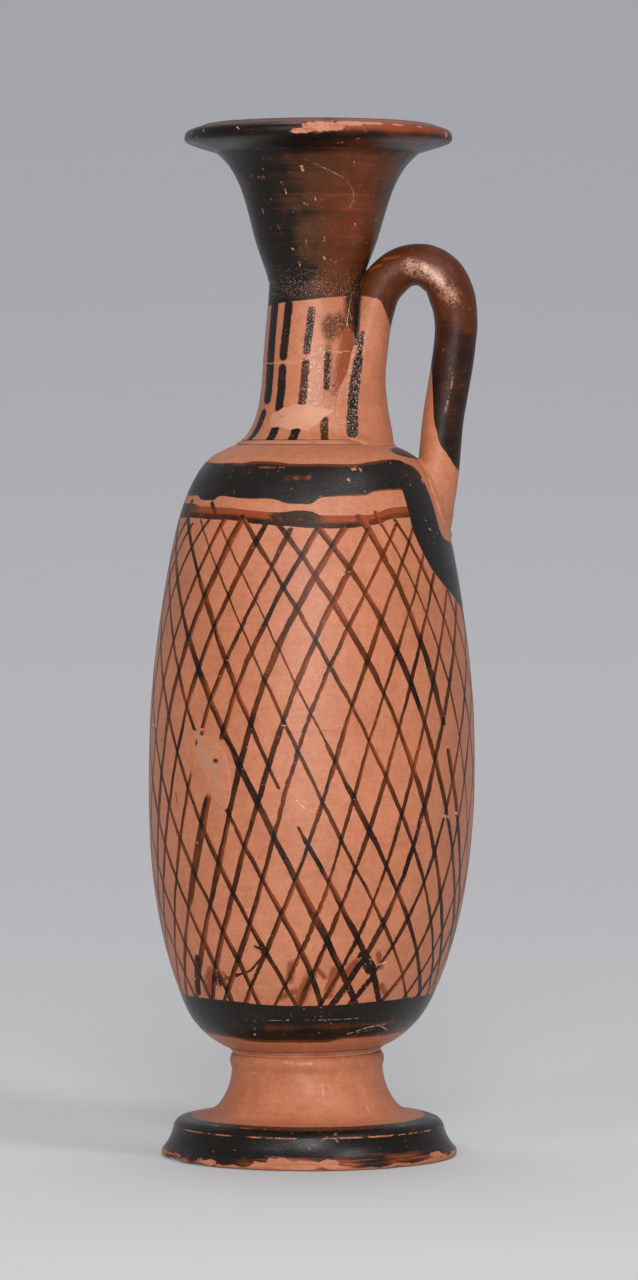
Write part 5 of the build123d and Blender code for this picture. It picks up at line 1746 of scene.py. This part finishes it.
class LEKYTHOS_OT_lutings(bpy.types.Operator):
    """Turn the rings of slip that join the thrown pieces"""
    bl_idname = "lekythos.lutings"
    bl_label = "Luted joints"

    def execute(self, context):
        form = context.scene.lekythos_form
        self.ring("foot_luting", "foot_seam", FOOT_WALL, BELLY_WALL, FOOT_TOP, BELLY_BASE,
                  -form.foot_groove, "seam", *FOOT_LAP)
        self.ring("belly_luting", "belly_seam", BELLY_WALL, SHOULDER_WALL, BELLY_TOP, SHOULDER_BASE,
                  -form.seam_recess, "net", *SEAM_LAP)
        self.ring("neck_luting", "neck_seam", SHOULDER_WALL, NECK_WALL, SHOULDER_TOP, NECK_BASE,
                  form.neck_ridge, "seam", *SEAM_LAP)
        self.ring("mouth_luting", "mouth_seam", NECK_WALL, MOUTH_WALL, NECK_TOP, MOUTH_BASE,
                  0.0, "neck", *SEAM_LAP)
        return {"FINISHED"}

    def ring(self, node, name, below, above, low, high, swell, finish, lap, skin):
        """A ring of slip over the edges of two walls, standing out or sunk by a swell."""
        lower, upper = below[-1][0], above[0][0]
        inner = RING_INNER * min(lower, upper)
        foot = (float(radius_of(below)(low - lap)) + skin - RING_TUCK, low - lap)
        top = (float(radius_of(above)(high + lap)) + skin - RING_TUCK, high + lap)
        stations = [
            foot,
            (lower + skin + RING_EASE * swell, low + CREASE),
            (0.5 * (lower + upper) + swell, 0.5 * (low + high)),
            (upper + skin + RING_EASE * swell, high - CREASE),
            top,
            (inner, high),
            (inner, low),
            foot,
        ]
        piece = throw(name, stations, RING_STEPS)
        face = radius_of([(inner + RING_FACE, low)])
        dress(piece, (), face, net=finish == "net", uneven=0.05)
        coat(piece, finish)
        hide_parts(node)


class LEKYTHOS_OT_fills(bpy.types.Operator):
    """Lay the plaster fills into the neck and the belly"""
    bl_idname = "lekythos.fills"
    bl_label = "Plaster fills"

    def execute(self, context):
        crown = context.scene.lekythos_form.fill_crown
        for node, name, outline, carrier in (
                ("neck_fill", "neck_plaster", NECK_FILL_OUTLINE, NECK_WALL),
                ("belly_fill", "belly_plaster", BELLY_FILL_OUTLINE, BELLY_WALL)):
            piece = lay_fill(name, outline, radius_of(carrier), crown)
            dress(piece, (), uneven=0.04)
            coat(piece, "plaster")
            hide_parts(node)
        return {"FINISHED"}


class LEKYTHOS_OT_stage(bpy.types.Operator):
    """Set the paper sweep, the soft lights, the world and the camera"""
    bl_idname = "lekythos.stage"
    bl_label = "Stage"

    def execute(self, context):
        stage = context.scene.lekythos_stage
        self.sweep(stage)
        for name, power, size, azimuth, elevation, distance in LAMPS:
            self.lamp(name, getattr(stage, power), size, azimuth, elevation, distance)
        self.world(context, stage)
        bpy.ops.object.camera_add(location=(stage.aside, -stage.distance, stage.camera_height))
        camera = bpy.context.object
        aim = Vector((stage.aside, 0.0, stage.aim_height)) - camera.location
        camera.rotation_euler = aim.to_track_quat("-Z", "Y").to_euler()
        camera.data.lens = stage.lens
        camera.data.sensor_width = VIEW_SIDE
        camera.data.clip_end = VIEW_END
        context.scene.camera = camera
        context.scene.view_settings.view_transform = "Standard"
        return {"FINISHED"}

    def sweep(self, stage):
        """A floor of paper that curves up behind the pot."""
        paper = begin("paper_sweep", bpy.ops.mesh.primitive_plane_add, size=PAPER_SIZE)
        for vertex in paper.data.vertices:
            vertex.co.y = min(vertex.co.y, PAPER_BACK)
            vertex.select = vertex.co.y > 0.0
        for edge in paper.data.edges:
            edge.select = all(paper.data.vertices[index].select for index in edge.vertices)
        for polygon in paper.data.polygons:
            polygon.select = False
        bpy.ops.object.mode_set(mode="EDIT")
        bpy.ops.mesh.select_mode(type="EDGE")
        bpy.ops.mesh.extrude_region_move(TRANSFORM_OT_translate={"value": (0.0, 0.0, PAPER_RISE)})
        bpy.ops.object.mode_set(mode="OBJECT")
        fold = paper.modifiers.new("Curve of the paper", "BEVEL")
        fold.width = PAPER_FOLD
        fold.segments = FOLD_STEPS
        bpy.ops.object.modifier_apply(modifier=fold.name)
        bpy.ops.object.shade_smooth()
        paper.data.materials.append(self.matt_paper(stage))

    def matt_paper(self, stage):
        """Paper that takes shadows near the pot and, away from it, glows to the camera in painted light,
        graded from floor to backdrop.
        """
        material = bpy.data.materials.new("Matt paper")
        material.use_nodes = True
        mixer = Mixer(material.node_tree)
        place = mixer.add("ShaderNodeTexCoord").outputs["Object"]
        across, back, _ = mixer.split(place)
        # The glow's tones are painted light: a bright floor under the pot, a darker far floor and backdrop
        floor = mixer.tint(mixer.ramp(back, *FLOOR_FADE), stage.floor_near, stage.floor_far)
        reach = mixer.math("SQRT", mixer.plus(mixer.times(across, across), mixer.times(back, back)))
        tone = mixer.tint(mixer.ramp(reach, *BACKDROP_FADE), floor, stage.backdrop)
        share = mixer.times(mixer.seen(), mixer.ramp(reach, *SHADOW_FADE, SHADOW_GLOW, 1.0))
        shader = material.node_tree.nodes["Principled BSDF"]
        mixer.feed(shader.inputs["Base Color"], stage.paper)
        shader.inputs["Roughness"].default_value = 0.9
        shader.inputs["Specular IOR Level"].default_value = 0.1
        glow = mixer.add("ShaderNodeEmission", {"Color": tone})
        blend = mixer.add("ShaderNodeMixShader", {0: share, 1: shader.outputs[0], 2: glow.outputs[0]})
        mixer.feed(material.node_tree.nodes["Material Output"].inputs["Surface"], blend.outputs[0])
        return material

    def lamp(self, name, power, size, azimuth, elevation, distance):
        """A soft box aimed at the middle of the pot."""
        turn, rise = math.radians(azimuth), math.radians(elevation)
        middle = Vector((0.0, 0.0, 0.5 * CROWN * MM))
        way = Vector((math.sin(turn) * math.cos(rise), -math.cos(turn) * math.cos(rise), math.sin(rise)))
        bpy.ops.object.light_add(type="AREA", location=middle + way * distance)
        light = bpy.context.object
        light.name = name
        light.data.energy = power
        light.data.shape = "RECTANGLE"
        light.data.size, light.data.size_y = size
        light.rotation_euler = (-way).to_track_quat("-Z", "Y").to_euler()

    def world(self, context, stage):
        """Even ambient light, and pale paper to the camera where the sweep ends."""
        world = bpy.data.worlds.new("Studio")
        world.use_nodes = True
        mixer = Mixer(world.node_tree)
        seen = mixer.seen()
        ground = world.node_tree.nodes["Background"]
        mixer.feed(ground.inputs["Color"], mixer.tint(seen, (1.0, 1.0, 1.0), stage.backdrop))
        mixer.feed(ground.inputs["Strength"], mixer.mix(seen, stage.ambient, 1.0))
        context.scene.world = world


class LEKYTHOS_PT_panel(bpy.types.Panel):
    """Pieces of the flask and the sizes and colours behind them"""
    bl_idname = "LEKYTHOS_PT_panel"
    bl_label = "Net lekythos"
    bl_space_type = "VIEW_3D"
    bl_region_type = "UI"
    bl_category = "Lekythos"

    def draw(self, context):
        for operator in OPERATORS:
            self.layout.operator(operator.bl_idname)
        for group, settings in SETTINGS:
            column = self.layout.box().column()
            for name in settings.__annotations__:
                column.prop(getattr(context.scene, group), name)


OPERATORS = (
    LEKYTHOS_OT_foot, LEKYTHOS_OT_body, LEKYTHOS_OT_neck, LEKYTHOS_OT_mouth, LEKYTHOS_OT_handle,
    LEKYTHOS_OT_lutings, LEKYTHOS_OT_fills, LEKYTHOS_OT_stage,
)
SETTINGS = (
    ("lekythos_form", FormSettings), ("lekythos_paint", PaintSettings),
    ("lekythos_stage", StageSettings),
)


def register():
    for name, settings in SETTINGS:
        bpy.utils.register_class(settings)
        setattr(bpy.types.Scene, name, PointerProperty(type=settings))
    for operator in OPERATORS:
        bpy.utils.register_class(operator)
    bpy.utils.register_class(LEKYTHOS_PT_panel)


def unregister():
    bpy.utils.unregister_class(LEKYTHOS_PT_panel)
    for operator in reversed(OPERATORS):
        bpy.utils.unregister_class(operator)
    for name, settings in reversed(SETTINGS):
        delattr(bpy.types.Scene, name)
        bpy.utils.unregister_class(settings)


def main():
    register()
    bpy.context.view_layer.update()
    bpy.ops.lekythos.foot()
    bpy.ops.lekythos.body()
    bpy.ops.lekythos.neck()
    bpy.ops.lekythos.mouth()
    bpy.ops.lekythos.handle()
    bpy.ops.lekythos.lutings()
    bpy.ops.lekythos.fills()
    bpy.ops.lekythos.stage()


if __name__ == "__main__":
    main()
